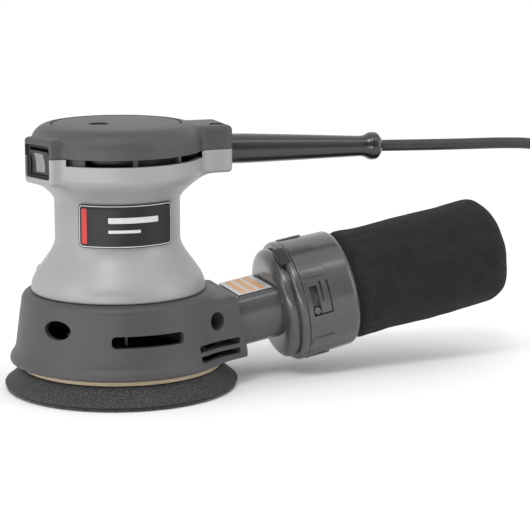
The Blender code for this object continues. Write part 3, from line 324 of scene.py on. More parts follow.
def made_object(name, bm, *materials):
    """The mesh as an object at the origin, smooth but for its sharp edges."""
    mesh = bpy.data.meshes.new(name)
    bm.to_mesh(mesh)
    bm.free()
    for material in materials:
        mesh.materials.append(material)
    mesh.shade_smooth()
    mesh.set_sharp_from_angle(angle=SHARP)
    made = bpy.data.objects.new(name, mesh)
    scene.collection.objects.link(made)
    return made


def carve(piece, *tools, operation="DIFFERENCE"):
    """Cuts the tools' meshes out of a piece, or joins them to it, or keeps what they share."""
    helpers = []
    for index, tool in enumerate(tools):
        helper = made_object(f"tool_{index}", tool)
        helpers.append(helper)
        step = piece.modifiers.new(helper.name, "BOOLEAN")
        step.operation = operation
        step.solver = "MANIFOLD"
        step.object = helper
    bpy.context.view_layer.update()
    whole = bpy.data.meshes.new_from_object(piece.evaluated_get(bpy.context.evaluated_depsgraph_get()))
    piece.modifiers.clear()
    old, piece.data = piece.data, whole
    whole.name = old.name
    bpy.data.meshes.remove(old)
    for helper in helpers:
        bpy.data.meshes.remove(helper.data)
    whole.shade_smooth()
    whole.set_sharp_from_angle(angle=SHARP)


def seated(piece, body, slot, *stands_for):
    """Gives a piece its body and hides the solids it stands for; its slot is not used."""
    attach(piece, body)
    if stands_for:
        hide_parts(*stands_for)


seated(lead, "body", "black_rubber", "power_cord", "cord_tail", "cord_coil")

PLUG_X, PLUG_Z = 384.6, 7.0
PLUG_START = -55.3
PLUG_RELIEF, PLUG_DEPTH, PLUG_WIDTH, PLUG_THICKNESS = 22.0, 24.0, 23.0, 14.0
BLADE_PITCH, BLADE_LENGTH, BLADE_WIDTH, BLADE_THICKNESS = 12.7, 16.0, 6.4, 1.5
plug_front = PLUG_START - PLUG_RELIEF
plug = made_object("plug", block((PLUG_X - PLUG_WIDTH / 2, plug_front - PLUG_DEPTH, 0),
                                 (PLUG_X + PLUG_WIDTH / 2, plug_front, PLUG_THICKNESS), 3.2, 5), lead_rubber)
sleeve = [(0, PLUG_RELIEF + 4), (6.2, PLUG_RELIEF + 4), (6.2, PLUG_RELIEF - 2)]
for rib in range(5):
    foot, taper = PLUG_RELIEF - 4 - rib * 3.4, rib * 0.28
    sleeve += [(6.0 - taper, foot), (5.3 - taper, foot - 0.4), (5.3 - taper, foot - 1.4), (5.9 - taper, foot - 1.8)]
sleeve += [(4.6, 0.4), (4.2, 0), (0, 0)]
along_plug = Matrix.Translation(Vector((PLUG_X, PLUG_START, PLUG_Z)) * MM) @ Matrix.Rotation(pi / 2, 4, "X")
carve(plug, laid(turned(sleeve, 48), along_plug), operation="UNION")
carve(plug, *[
    block((PLUG_X - 7, plug_front - 17 + i * 3, z), (PLUG_X + 7, plug_front - 15.6 + i * 3, z + 1), 0.2, 1)
    for i in range(4) for z in (-0.5, PLUG_THICKNESS - 0.5)])
seated(plug, "body", "black_rubber", "plug_body")

blade_brass = finish("blade_brass", base_color=(0.72, 0.56, 0.28, 1), gloss=(2, 0.2, 0.18), metallic=1.0)[0]
for index, side in enumerate((-1, 1)):
    middle = PLUG_X + side * BLADE_PITCH / 2
    front = plug_front - PLUG_DEPTH - 0.3
    blade = made_object(f"blade_{index + 1}", block(
        (middle - BLADE_THICKNESS / 2, front - BLADE_LENGTH, PLUG_Z - BLADE_WIDTH / 2),
        (middle + BLADE_THICKNESS / 2, front, PLUG_Z + BLADE_WIDTH / 2), 0.35, 2), blade_brass)
    carve(blade, laid(turned([(0, -3), (1.6, -3), (1.6, 3), (0, 3)], 24),
                                    Matrix.Translation(Vector((middle, front - 12.5, PLUG_Z)) * MM)
                                    @ Matrix.Rotation(pi / 2, 4, "Y")))
    seated(blade, "body", "brass", f"plug_blade_{index + 1}")



def repaint(material, *names):
    """A new look for pieces that keep their shape from the CAD."""
    for name in names:
        mesh = nodes[name].data
        mesh.materials.clear()
        mesh.materials.append(material)


repaint(finish("tie_plastic", drift=(3, (0.05, 0.05, 0.05), (0.08, 0.08, 0.08)), grain=(0.6, 0.03),
               roughness=0.45)[0], "coil_tie")

# ---- Sanding pad ----
# A skirted foam pad with a hook face under it, both moulded to the backing plate, with eight dust holes
# and three deeper ones that reach the screws. It turns 1.2 mm off the motor's axis.
ORBIT = 1.2
PAD_RADIUS, PAD_TOP_RADIUS = 62.5, 54.3
FOAM_BASE, FOAM_TOP = 1.7, 11.2
on_pad = Matrix.Translation((ORBIT * MM, 0, 0))


def pegs(spots, radius, low, high, sides=32):
    """Upright cylinders, as one mesh to cut holes with."""
    bm = bmesh.new()
    for x, y in spots:
        bmesh.ops.create_cone(bm, cap_ends=True, segments=sides, radius1=radius * MM, radius2=radius * MM,
                              depth=(high - low) * MM,
                              matrix=Matrix.Translation(Vector((x, y, (low + high) / 2)) * MM))
    return bm


def around(count, radius, first=0.0):
    """Spots evenly round a circle."""
    turns = [radians(first) + 2 * pi * i / count for i in range(count)]
    return [(radius * cos(turn), radius * sin(turn)) for turn in turns]


def pad_holes():
    """The dust holes and the screws' holes."""
    return [laid(pegs(around(8, PAD_RADIUS * 0.7, 22.5), 4.5, -3, 16), on_pad),
            laid(pegs(around(3, 19.5), 4.4, -3, 16), on_pad)]


foam_grain, shader, place = finish("foam_grain", roughness=0.8, specular_ior_level=0.35)
pores = place.noise(0.55, 3.0, 0.65)
feed(shader,
     base_color=pores.ramp((0.3, 0.008), (0.5, 0.028), (0.70, 0.13)),
     roughness=pores * 0.25 + 0.62,
     normal=(pores + place.noise(2.5) * 0.5).bump(0.16))
foam = made_object("foam_pad", laid(turned(eased([
    (0, FOAM_TOP), (PAD_TOP_RADIUS, FOAM_TOP, 0.7), (56.3, 8.0, 2.5), (59.4, 5.0, 2), (PAD_RADIUS - 0.2, 3.0, 0.8),
    (PAD_RADIUS, 2.3, 0.4), (PAD_RADIUS - 0.7, FOAM_BASE, 0.3), (0, FOAM_BASE)]), 160), on_pad), foam_grain)
carve(foam, *pad_holes())
seated(foam, "pad", "black_foam", "pad_foam")

hook_tape, shader, place = finish("hook_tape", roughness=0.95, sheen_weight=0.3)
hooks = place.node("ShaderNodeTexVoronoi", None, {"Vector": place, "Scale": 1100.0})
feed(shader,
     base_color=hooks.ramp((0.0, 0.07), (0.45, 0.02), (1.0, 0.01)),
     normal=(1 - hooks).bump(0.5))
hook_disc = made_object("hook_disc", laid(turned(eased([
    (0, 1.4), (PAD_RADIUS - 0.6, 1.4, 0.3), (PAD_RADIUS - 0.8, 0, 0.5), (0, 0)]), 160), on_pad), hook_tape)
carve(hook_disc, *pad_holes())
seated(hook_disc, "pad", "hook_fabric", "hook_face")

# ---- Wear ring ----
# A turned ring of tan low-friction plastic that the brake seal rubs on. It has two fine grooves in its
# rim and turns with the pad.
wear_tan, shader, place = finish("wear_tan", grain=(0.8, 0.02), roughness=0.4)
feed(shader, base_color=place.noise(4, 3.0).mix((0.47, 0.38, 0.26), (0.60, 0.50, 0.36)))
wear = made_object("wear_band", laid(turned(eased([
    (48.0, 13.6), (52.6, 13.6, 0.5), (53.4, 13.1, 0.3), (53.4, 12.9), (53.1, 12.8), (53.1, 12.6), (53.4, 12.5),
    (53.5, 12.2), (53.1, 12.1), (53.1, 11.9), (53.5, 11.8), (53.5, 11.5), (48.0, 11.5)]), 160, ring=True), on_pad),
    wear_tan)
seated(wear, "pad", "tan_ring", "wear_ring")

# ---- Dust shroud ----
# The charcoal moulding round the fan: a flared skirt whose wall runs back into the square, rising dust
# outlet. Breather openings are cut through it, alike on both sides.
SHROUD_BASE, SHROUD_TOP = 14.8, 52.2
SHOULDER_LEVEL = 47.0
OUTLET_REACH, OUTLET_LEVEL, OUTLET_EASING = 63.5, 33.0, 6.0
DUST_TILT = radians(10.5)
dust = Matrix.Translation(Vector((OUTLET_REACH, 0, OUTLET_LEVEL)) * MM) @ Matrix.Rotation(pi / 2 - DUST_TILT, 4, "Y")


def moulded(name, colour, roughness, grain=0.5, depth=0.05, spread=0.35, cloud=0.12, **sockets):
    """A moulded plastic: its own grey, fine texture and slow mottle."""
    made, shader, place = finish(name, **sockets)
    fine = place.noise(grain, 2.0, 0.6)
    slow = place.noise(22, 2.0)
    dark, light = [tuple(c * by for c in colour) for by in (0.45, 1.55)]
    feed(shader,
         base_color=(fine * spread + slow * cloud + (0.5 - (spread + cloud) / 2)).mix(dark, light),
         roughness=fine * 0.16 + slow * 0.1 + (roughness - 0.13),
         normal=fine.bump(depth))
    return made


charcoal = moulded("charcoal_plastic", (0.050, 0.050, 0.0515), 0.5)


def melt(a, b, reach):
    """Two distances as one, rounded where they meet."""
    share = np.clip(0.5 + 0.5 * (b - a) / reach, 0, 1)
    return b * (1 - share) + a * share - reach * share * (1 - share)


def box_distance(x, y, z, low, high, easing):
    """Distance in millimetres from a box with rounded edges."""
    spans = []
    for value, start, end in zip((x, y, z), low, high):
        middle, half = (start + end) / 2, (end - start) / 2 - easing
        spans.append(np.abs(value - middle) - half)
    outside = sqrt_sum([np.maximum(s, 0) for s in spans])
    return outside + np.minimum(np.maximum.reduce(spans), 0) - easing


def sqrt_sum(values):
    """The length of a vector given by its parts."""
    return np.sqrt(sum(v * v for v in values))


def swell(bm, distance, start, reach, lowest, highest):
    """Moves the skin's points straight out or in, to where the distance from the real shape is nothing."""
    skin = [v for v in bm.verts if hypot(v.co.x, v.co.y) > start * MM
            and lowest * MM <= v.co.z <= highest * MM]
    spots = np.array([v.co for v in skin]) / MM
    angle = np.arctan2(spots[:, 1], spots[:, 0])
    near, far = np.full(len(skin), float(start)), np.full(len(skin), float(reach))
    for _ in range(24):
        middle = (near + far) / 2
        within = distance(middle * np.cos(angle), middle * np.sin(angle), spots[:, 2]) < 0
        near, far = np.where(within, middle, near), np.where(within, far, middle)
    for vertex, radius, turn in zip(skin, near, angle):
        vertex.co.x, vertex.co.y = radius * cos(turn) * MM, radius * sin(turn) * MM
    return bm


SKIRT = [(14.8, 57.7), (15.1, 58.05), (15.6, 58.2), (17.0, 58.2), (18.2, 57.6), (20.2, 56.2), (22.2, 55.4),
         (24.4, 54.9), (40.0, 52.85), (45.0, 52.1), (SHOULDER_LEVEL, 51.8)]


def skirt_radius(z):
    """The skirt at a height in millimetres, with a quarter ellipse for its shoulder."""
    rise = np.maximum(z - SHOULDER_LEVEL, 0) / (SHROUD_TOP - SHOULDER_LEVEL)
    shoulder = 47.0 + 4.8 * np.sqrt(np.clip(1 - rise ** 2, 0, 1))
    return np.where(z > SHOULDER_LEVEL, shoulder, np.interp(z, *zip(*SKIRT)))


def shroud_distance(x, y, z):
    """Distance in millimetres from the skirt with its outlet, which narrows towards its mouth."""
    out, rise = x - OUTLET_REACH, z - OUTLET_LEVEL
    along = out * cos(DUST_TILT) + rise * sin(DUST_TILT)
    up = rise * cos(DUST_TILT) - out * sin(DUST_TILT)
    share = np.clip((along + 36) / 36, -0.5, 1.2)
    half = 43.0 - 16.8 * share
    low, high = -13.7 - 5.2 * share, 22.6 - 6.6 * share
    across = np.abs(y) - half + OUTLET_EASING
    upright = np.abs(up - (low + high) / 2) - (high - low) / 2 + OUTLET_EASING
    section = (sqrt_sum([np.maximum(across, 0), np.maximum(upright, 0)])
               + np.minimum(np.maximum(across, upright), 0) - OUTLET_EASING)
    outlet = np.maximum.reduce([section, along - 4, -30 - along])
    return melt(sqrt_sum([x, y]) - skirt_radius(z), outlet, 4.0)


skirt_rows = [SHROUD_BASE, 15.0, 15.3, *np.arange(15.6, 51.6, 0.4), 51.75, 51.95, 52.1, 52.18]
skirt_line = [(float(skirt_radius(np.float64(z))), float(z)) for z in skirt_rows]
shroud = made_object("shroud", swell(turned(
    [(0, SHROUD_BASE), (40, SHROUD_BASE), *skirt_line, (47.0, SHROUD_TOP), (0, SHROUD_TOP)], 360),
    shroud_distance, 47.4, 78, 14.7, 52.19), charcoal)


def slab(outline, low, high, matrix=None):
    """A flat outline in X and Y carried from one height to another."""
    bm = bmesh.new()
    face = bm.faces.new([bm.verts.new((x * MM, y * MM, low * MM)) for x, y in outline])
    grown = bmesh.ops.extrude_face_region(bm, geom=[face])["geom"]
    raised = [g for g in grown if isinstance(g, bmesh.types.BMVert)]
    bmesh.ops.translate(bm, vec=(0, 0, (high - low) * MM), verts=raised)
    bmesh.ops.recalc_face_normals(bm, faces=bm.faces)
    return laid(bm, matrix) if matrix else bm


def arc(centre, radii, start, end, count):
    """Points on an ellipse between two angles in degrees."""
    turns = [radians(start + (end - start) * i / count) for i in range(count + 1)]
    return [(centre[0] + radii[0] * cos(a), centre[1] + radii[1] * sin(a)) for a in turns]


def oval(wide, high, count):
    """The outline of a whole ellipse, or of a circle, given by its radii."""
    return arc((0, 0), (wide, high), 0, 360 - 360 / count, count - 1)


def pill(half_long, half_high, corner, count=5):
    """The outline of a rectangle with rounded corners."""
    points = []
    for x, y, start in ((1, 1, 0), (-1, 1, 90), (-1, -1, 180), (1, -1, 270)):
        middle = (x * (half_long - corner), y * (half_high - corner))
        points += arc(middle, (corner, corner), start, start + 90, count)
    return points


def outward(middle, direction, up=(0, 0, 1)):
    """A frame at a point in millimetres whose Z looks along a direction and whose Y is up."""
    z = Vector(direction).normalized()
    x = Vector(up).cross(z).normalized()
    turn = Matrix((x, z.cross(x), z)).transposed().to_4x4()
    return Matrix.Translation(Vector(middle) * MM) @ turn


SLOT_RADIUS = 55


def curved_slot(middle, half_angle, level, half_high, low, high, corner):
    """A slot that follows the round wall."""
    bm = slab(pill(radians(half_angle) * SLOT_RADIUS, half_high, corner), low, high)
    for v in bm.verts:
        turn, radius = radians(middle) + v.co.x / (SLOT_RADIUS * MM), v.co.z
        v.co = (radius * cos(turn), radius * sin(turn), v.co.y + level * MM)
    bmesh.ops.recalc_face_normals(bm, faces=bm.faces)
    return bm


TUBE_HALF, TUBE_TOP, TUBE_BELLY = 23.4, 13.8, 17.4


def tube_outline(out, count=24):
    """The dust tube's section grown outwards: a flat top on a round belly. Local -X is up."""
    half, top, middle = TUBE_HALF + out, TUBE_TOP + out, 3.0
    shoulder = (6.5 + out, top - middle)
    points = arc((0, middle), (half, TUBE_BELLY + out + middle), 180, 360, count)
    points += arc((half - shoulder[0], middle), shoulder, 7, 90, 10)
    points += arc((shoulder[0] - half, middle), shoulder, 90, 173, 10)
    return [(-v, u) for u, v in points]


carve(shroud,
      turned([(0, 60), (40.8, 60), (40.8, 49.7), (48.5, 49.7), (49.3, 46), (52.4, 23.3), (55.7, 17.2), (55.7, 14.5),
              (57.3, 14.5), (57.3, 5), (0, 5)], 160),
      slab([(-40, -60), (40, -60), (40, 60), (-40, 60)], -2.4, 30, dust))
carve(shroud, slab(tube_outline(0.6), -30, 6, dust), slab(tube_outline(1.4), -4.5, 6, dust))
WIDE_MIDDLE, WIDE_HALF_TURN, WIDE_LEVEL = 87.5, 21.4, 34.2
OVAL_ANGLE, OVAL_RADIUS, OVAL_LEVEL = 141.7, 54.0, 38.8
CHEEK_ANGLE, CHEEK_X, CHEEK_Y, CHEEK_LEVEL = radians(64), 44.7, 35.4, 37.9
for side in (-1, 1):
    carve(shroud, curved_slot(side * WIDE_MIDDLE, WIDE_HALF_TURN, WIDE_LEVEL, 3.1, 46, 66, 2.2))
    turn = radians(side * OVAL_ANGLE)
    carve(shroud, slab(oval(8.4, 4.9, 45), -14, 8, outward(
        (OVAL_RADIUS * cos(turn), OVAL_RADIUS * sin(turn), OVAL_LEVEL), (cos(turn), sin(turn), 0))))
    out = Vector((cos(CHEEK_ANGLE), side * sin(CHEEK_ANGLE), 0))
    hole = Vector((CHEEK_X, side * CHEEK_Y, CHEEK_LEVEL))
    carve(shroud, slab(oval(4.9, 4.9, 24), -13, 9, outward(hole, out)))
    for drop, half_high in ((12.4, 1.8), (17.8, 1.6)):
        carve(shroud, slab(pill(15.5, half_high, 0.9), -9, 9,
                                         outward(hole - Vector((0, 0, drop)), out)))
seated(shroud, "body", "charcoal_plastic", "dust_shroud")

# ---- Motor housing ----
# Two satin silver-grey halves that butt at the middle plane: dome, neck and flared rim, which carry the
# lower halves of the cord box and the switch block. Four screws pull them together from the right side.
HOUSING_BASE, HOUSING_TOP, SPLIT = 52.5, 123.0, 126.5
DOME_RADIUS, NECK_RADIUS, RIM_RADIUS = 46.3, 33.3, 44.9
SWITCH_LEVEL = 124.5
SWITCH_ANGLE = radians(201)
SWITCH_HALF, SWITCH_END = 12.5, 50.2
CORD_BOX_HALF, CORD_BOX_END = 16.5, 59.5
RELIEF_LEVEL, RELIEF_DROP = 124.7, radians(1.4)
switch = Matrix.Translation((0, 0, SWITCH_LEVEL * MM)) @ Matrix.Rotation(SWITCH_ANGLE, 4, "Z")
OUTWARDS = Matrix(((0, 0, 1, 0), (1, 0, 0, 0), (0, 1, 0, 0), (0, 0, 0, 1)))


def housing_radius(z):
    """Dome, neck and flared rim at heights in millimetres."""
    rise = z - HOUSING_BASE
    fall = np.clip((rise - 2) / 26, 0, 1)
    flare = np.clip((rise - 48) / 15.5, 0, 1)
    return (DOME_RADIUS - (DOME_RADIUS - NECK_RADIUS) * fall ** 2 * (3 - 2 * fall)
            + (RIM_RADIUS - NECK_RADIUS) * flare ** 2 * (3 - 2 * flare))


def in_switch(x, y):
    """A place in the switch's frame: outwards, and across it."""
    return (x * cos(SWITCH_ANGLE) + y * sin(SWITCH_ANGLE), y * cos(SWITCH_ANGLE) - x * sin(SWITCH_ANGLE))


def boxes_melted(body, x, y, z, cord_levels, switch_levels, reach):
    """A round body's distance with the cord box and the switch block melted into it."""
    for at, end, half, (low, high), easing in (
            ((x, y), CORD_BOX_END, CORD_BOX_HALF, cord_levels, 2.6),
            (in_switch(x, y), SWITCH_END, SWITCH_HALF, switch_levels, 2.2)):
        body = melt(body, box_distance(*at, z, (10, -half, low), (end, half, high), easing), reach)
    return body


def housing_distance(x, y, z):
    """Distance in millimetres from the whole housing."""
    return boxes_melted(sqrt_sum([x, y]) - housing_radius(z), x, y, z, (113.8, 150), (112.5, 150), 7.0)


rows = [53.1, *np.arange(54, 108, 1.2), *np.arange(108, 111.6, 0.5), *np.arange(111.6, 117.6, 0.2),
        *np.arange(117.6, 126.5, 0.5), 126.5]
housing_line = [(46.1, HOUSING_BASE + 0.2), *[(float(housing_radius(z)), float(z)) for z in rows]]
skin = swell(turned([(0, HOUSING_BASE), (45.8, HOUSING_BASE), *housing_line, (0, SPLIT)], 360),
             housing_distance, 25, 75, 100, 127)
silver = moulded("silver_plastic", (0.295, 0.297, 0.30), 0.42, grain=0.45, depth=0.012, spread=0.07, cloud=0.05,
                 metallic=0.15)
shell = made_object("housing", skin, silver)
inside = [(float(housing_radius(z)) - 2.4, float(z)) for z in np.arange(54, HOUSING_TOP, 2.0)]
relief_way = outward((CORD_BOX_END - 6, 0, RELIEF_LEVEL), (cos(RELIEF_DROP), 0, -sin(RELIEF_DROP)))


def box_room(low, high):
    """The hollow of the cord box between two levels."""
    return block((26.9, -14.3, low), (CORD_BOX_END - 2.2, 14.3, high))


def mouths():
    """The way into the switch block and the sleeve's way out of the cord box."""
    return [slab(pill(10.9, 8.6, 1.6), 29.9, 56, switch @ OUTWARDS), slab(oval(7.5, 7.5, 36), 0, 12, relief_way)]


carve(shell,
      turned([(0, 50), (43.9, 50), *inside, (42.5, HOUSING_TOP), (45.7, HOUSING_TOP), (45.7, 140), (0, 140)], 120),
      box_room(116.0, 130), *mouths())
screws = [(-36.0, HOUSING_BASE + 7.8), (36.0, HOUSING_BASE + 7.8), (-30.0, HOUSING_TOP - 12.0),
          (30.0, HOUSING_TOP - 12.0)]
for side, name in ((-1, "left"), (1, "right")):
    half = shell.copy()
    half.data = shell.data.copy()
    half.name = f"housing_shell_{name}"
    half.data.name = half.name
    scene.collection.objects.link(half)
    ends = sorted((0.15 * side, 90 * side))
    carve(half, block((-90, ends[0], 40), (90, ends[1], 150)), operation="INTERSECT")
    if side > 0:
        for x, z in screws:
            skin_depth = sqrt(float(housing_radius(z)) ** 2 - x * x)
            carve(half, slab(oval(3.7, 3.7, 24), skin_depth - 5, 60, outward((x, 0, z), (0, 1, 0))))
    seated(half, "body", "silver_plastic", f"housing_{name}")
bpy.data.objects.remove(shell)

# ---- Cap ----
# One charcoal moulding over the motor's end, with a rounded shoulder and the upper halves of the cord box
# and the switch block. A flush disc with one deep screw closes it, and the cord box has a shallow recess.
CAP_BASE, CAP_TOP = 126.8, 141.0
CAP_FLAT, CAP_SHOULDER, CAP_SHOULDER_LEVEL = 35.0, 10.2, 130.4
DISC_RADIUS, DISC_SEAT = 33.8, 139.3
CAP_SCREW = (-10.9, -5.5)


def cap_radius(z):
    """The cap at a height in millimetres, with a quarter ellipse for its shoulder."""
    rise = np.maximum(z - CAP_SHOULDER_LEVEL, 0) / (CAP_TOP - CAP_SHOULDER_LEVEL)
    return CAP_FLAT + CAP_SHOULDER * np.sqrt(np.clip(1 - rise ** 2, 0, 1))


def cap_distance(x, y, z):
    """Distance in millimetres from the whole cap."""
    return boxes_melted(sqrt_sum([x, y]) - cap_radius(z), x, y, z, (100, 139.0), (90, 136.5), 3.5)


cap_rows = [CAP_BASE, *np.arange(127.2, 134, 0.6), *np.arange(134, 140.2, 0.15),
            140.3, 140.5, 140.7, 140.85, 140.95]
cap_line = [(float(cap_radius(np.float64(z))), float(z)) for z in cap_rows]
cap = made_object("cap_shell", swell(turned(
    [(0, CAP_BASE), (20, CAP_BASE), *cap_line, (CAP_FLAT, CAP_TOP), (0, CAP_TOP)], 360),
    cap_distance, 30, 75, 126.7, 140.96), charcoal)
carve(cap,
      turned([(0, 137.1), (32.8, 137.1), (41.3, 133.3), (42.8, 130.8), (42.8, 120), (0, 120)], 120),
      box_room(120, 136.8))
carve(cap,
      turned([(0, DISC_SEAT), (DISC_RADIUS + 0.7, DISC_SEAT), (DISC_RADIUS + 0.7, 150), (0, 150)], 160),
      slab([(47.5, -12), (56.5, -12), (56.5, -3), (51, -3)], 138.3, 142))
carve(cap, *mouths())
seated(cap, "body", "charcoal_plastic", "top_cap")

disc = made_object("cap_plate", turned(eased([
    (0, CAP_TOP + 0.5), (DISC_RADIUS * 0.7, CAP_TOP + 0.3, 6), (DISC_RADIUS, CAP_TOP - 0.1, 0.6),
    (DISC_RADIUS, DISC_SEAT + 0.3), (0, DISC_SEAT + 0.3)]), 160), charcoal)
carve(disc, pegs([CAP_SCREW], 5.3, 130, 150, 48))
seated(disc, "body", "charcoal_plastic", "cap_disc")

screw_steel = finish("screw_steel", base_color=(0.42, 0.42, 0.43, 1), gloss=(1.5, 0.25, 0.22), metallic=1.0)[0]
repaint(screw_steel, "cap_screw", *[f"housing_screw_{i}" for i in range(1, 5)],
        *[f"pad_screw_{i}" for i in range(1, 4)])

# ---- Vent ring ----
# A charcoal band of louvres between the housing and the cap. Its ribs show in the black gap, and it is
# left out where the switch stands. A thin dark sleeve behind it keeps out daylight from the far side and is painted
# shade: it shows as the dark inside in that gap.
VENT_RADIUS, VENT_WALL, VENT_BASE, VENT_TOP = 42.1, 2.2, 118.8, 130.2
VENT_START, VENT_STEP, VENT_RIB = 231, 37.5, 1.6
vent = made_object("vent_band", turned(eased([
    (VENT_RADIUS - VENT_WALL, VENT_BASE), (VENT_RADIUS, VENT_BASE, 0.3), (VENT_RADIUS, VENT_TOP, 0.3),
    (VENT_RADIUS - VENT_WALL, VENT_TOP)]), 256, ring=True), charcoal)


def sector(inner, outer, start, end):
    """A plan outline between two radii and two angles in degrees."""
    count = max(2, round((end - start) / 4))
    return arc((0, 0), (outer, outer), start, end, count) + arc((0, 0), (inner, inner), end, start, count)


carve(vent, laid(block((20, -SWITCH_HALF, -20), (60, SWITCH_HALF, 20)), switch),
      *[slab(sector(37, 46, VENT_START + VENT_STEP * i + VENT_RIB, VENT_START + VENT_STEP * (i + 1) - VENT_RIB),
             122.4, 127.4) for i in range(8)])
seated(vent, "body", "silver_plastic", "vent_ring")
black = moulded("black_plastic", (0.016, 0.016, 0.017), 0.40, grain=0.4, depth=0.03)
# Painted shade: a black sleeve behind the louvres that shows as the dark inside.
shade_sleeve = made_object("vent_shade_sleeve", turned([(32.2, 118.4), (33.6, 118.4), (33.6, 132), (32.2, 132)], 96, ring=True),
                     black)
seated(shade_sleeve, "body", "black_plastic")

# ---- Switch ----
# A black frame in the block's mouth with a stepped bezel. In it a black dished rocker tips on a steel pin;
# a grey patch set in its dish is a painted highlight, where the dish catches the light.
FRAME_FACE = 49.4
ROCKER_PIVOT = FRAME_FACE - 5.0
DISH_RADIUS = 22


def in_mouth(foot, head, half_wide, half_high, *rounding):
    """An eased block in the switch's frame, between two reaches from the motor's axis."""
    return laid(block((foot, -half_wide, -half_high), (head, half_wide, half_high), *rounding), switch)


bezel = made_object("switch_bezel", in_mouth(FRAME_FACE - 7, FRAME_FACE, 10.6, 8.3, 0.7, 3), black)
carve(bezel, in_mouth(FRAME_FACE - 20, FRAME_FACE + 5, 8.7, 7.1, 0.5))
carve(bezel, in_mouth(FRAME_FACE - 1.1, FRAME_FACE + 5, 9.5, 7.6, 0.5))
seated(bezel, "body", "black_plastic", "switch_frame")

rocker_at = switch @ Matrix.Translation((ROCKER_PIVOT * MM, 0, 0)) @ Matrix.Rotation(radians(7), 4, "Y")
# Grey paint for the rocker's painted highlight in its dish.
grey = moulded("grey_plastic", (0.20, 0.20, 0.205), 0.40, grain=0.4, depth=0.02)


def across_rocker(radius, out, sides):
    """A round bar to cut with, across the rocker, so far out from its pin."""
    return laid(turned([(0, -20), (radius, -20), (radius, 20), (0, 20)], sides),
                rocker_at @ Matrix.Translation((out * MM, 0, 0)) @ Matrix.Rotation(pi / 2, 4, "X"))


rocker_piece = made_object("rocker", laid(block((-2.6, -8.2, -6.2), (4.6, 8.2, 6.2), 0.7, 3), rocker_at), black)
carve(rocker_piece, across_rocker(DISH_RADIUS, 25.4, 256))
carve(rocker_piece, across_rocker(1.5, 0, 32))
seated(rocker_piece, "rocker", "black_plastic", "switch_rocker")
# Painted highlight: a grey patch in the rocker's dish, where it catches the light.
patch = made_object("rocker_painted_highlight", laid(block((2.6, -4.0, -4.9), (4.6, 4.0, 4.9), 0.5, 3), rocker_at), grey)
carve(patch, across_rocker(DISH_RADIUS, 25.7, 256))
seated(patch, "rocker", "grey_plastic")
repaint(black, "switch_body")
repaint(screw_steel, "rocker_pin")

# ---- Badge ----
# A thin black plate with rounded corners, bent round the neck and held by its adhesive, with a plain
# light border, a red stripe at one end and two plain bars.
BADGE_MIDDLE, BADGE_HALF_TURN, BADGE_FOOT, BADGE_HEAD = -95.5, 45.0, 79.5, 102.5
INK_FOOT, INK_DEPTH = 1.18, 0.08


def wrapped(outline, low, high, rise):
    """A flat outline laid on the neck: X runs round it and Y up it, both from the badge's middle."""
    bm = slab(outline, low, high)
    for axis, count, spacing in ((0, 66, 0.4), (1, 8, 1.4)):
        across = Vector((1 - axis, axis, 0))
        for step in range(-count, count + 1):
            bmesh.ops.bisect_plane(bm, geom=bm.verts[:] + bm.edges[:] + bm.faces[:],
                                   plane_co=across * (step * spacing * MM), plane_no=across)
    for v in bm.verts:
        z = (BADGE_FOOT + BADGE_HEAD) / 2 + v.co.y / MM
        radius = float(housing_radius(z)) + rise + v.co.z / MM
        turn = radians(BADGE_MIDDLE) + v.co.x / MM / NECK_RADIUS
        v.co = Vector((radius * cos(turn), radius * sin(turn), z)) * MM
    bmesh.ops.recalc_face_normals(bm, faces=bm.faces)
    return bm


badge_half = radians(BADGE_HALF_TURN) * NECK_RADIUS
badge_ink = finish("badge_ink", drift=(6, (0.008, 0.008, 0.009), (0.014, 0.014, 0.015)), grain=(0.7, 0.01),
                   roughness=0.35, specular_ior_level=0.3)[0]
badge_light = finish("badge_light", drift=(3, (0.50, 0.50, 0.51), (0.62, 0.62, 0.63)), roughness=0.4)[0]
badge_red = finish("badge_red", drift=(3, (0.42, 0.02, 0.018), (0.52, 0.03, 0.025)), roughness=0.4)[0]
badge = made_object("badge", wrapped(pill(badge_half, 11.3, 2.2), 0, 0.85, 0.3), badge_ink)
seated(badge, "body", "black_plastic", "badge_plate")
for name, outline, paint in (
        ("badge_stripe", [(x - badge_half + 3.4, y) for x, y in pill(1.5, 9.2, 0.6)], badge_red),
        ("badge_bar_1", [(x + 3.2, y + 3.2) for x, y in pill(13.2, 1.5, 0.5)], badge_light),
        ("badge_bar_2", [(x - 1.8, y - 2.6) for x, y in pill(8.2, 0.8, 0.4)], badge_light)):
    seated(made_object(name, wrapped(outline, 0, INK_DEPTH, INK_FOOT), paint), "body", "black_plastic")
border = made_object("badge_border", wrapped(pill(badge_half - 0.5, 10.8, 1.9), 0, INK_DEPTH, INK_FOOT), badge_light)
carve(border, wrapped(pill(badge_half - 0.9, 10.4, 1.6), -0.5, 0.5, INK_FOOT))
seated(border, "body", "black_plastic")

# ---- Strain relief ----
# A long tapered sleeve of satin black rubber, gripped by its groove between the halves, with a bead at
# the tip.
relief_rubber = finish("relief_rubber", drift=(9, (0.005, 0.005, 0.006), (0.010, 0.010, 0.011)),
                       gloss=(1.5, 0.16, 0.22), grain=(0.6, 0.02), coat_weight=0.6, coat_roughness=0.12)[0]
relief = made_object("relief_sleeve", laid(turned(eased([
    (0, -7), (8.1, -7, 0.5), (8.1, -2.5), (7.2, -2.5), (7.2, 0.3), (8.1, 0.3, 0.4), (8.1, 11, 3), (7.1, 40.5, 14),
    (5.6, 79.5, 2.5), (6.6, 82.2, 1.2), (7.6, 83.6, 1.6), (7.7, 87.6, 1.8), (6.4, 88.9, 0.8), (5.2, 90, 0.5),
    (0, 90)], 6), 128), Matrix.Translation(Vector((CORD_BOX_END, 0, RELIEF_LEVEL - 6 * sin(RELIEF_DROP))) * MM)
    @ Matrix.Rotation(pi / 2 + RELIEF_DROP, 4, "Y")), relief_rubber)
seated(relief, "body", "black_rubber", "strain_relief")

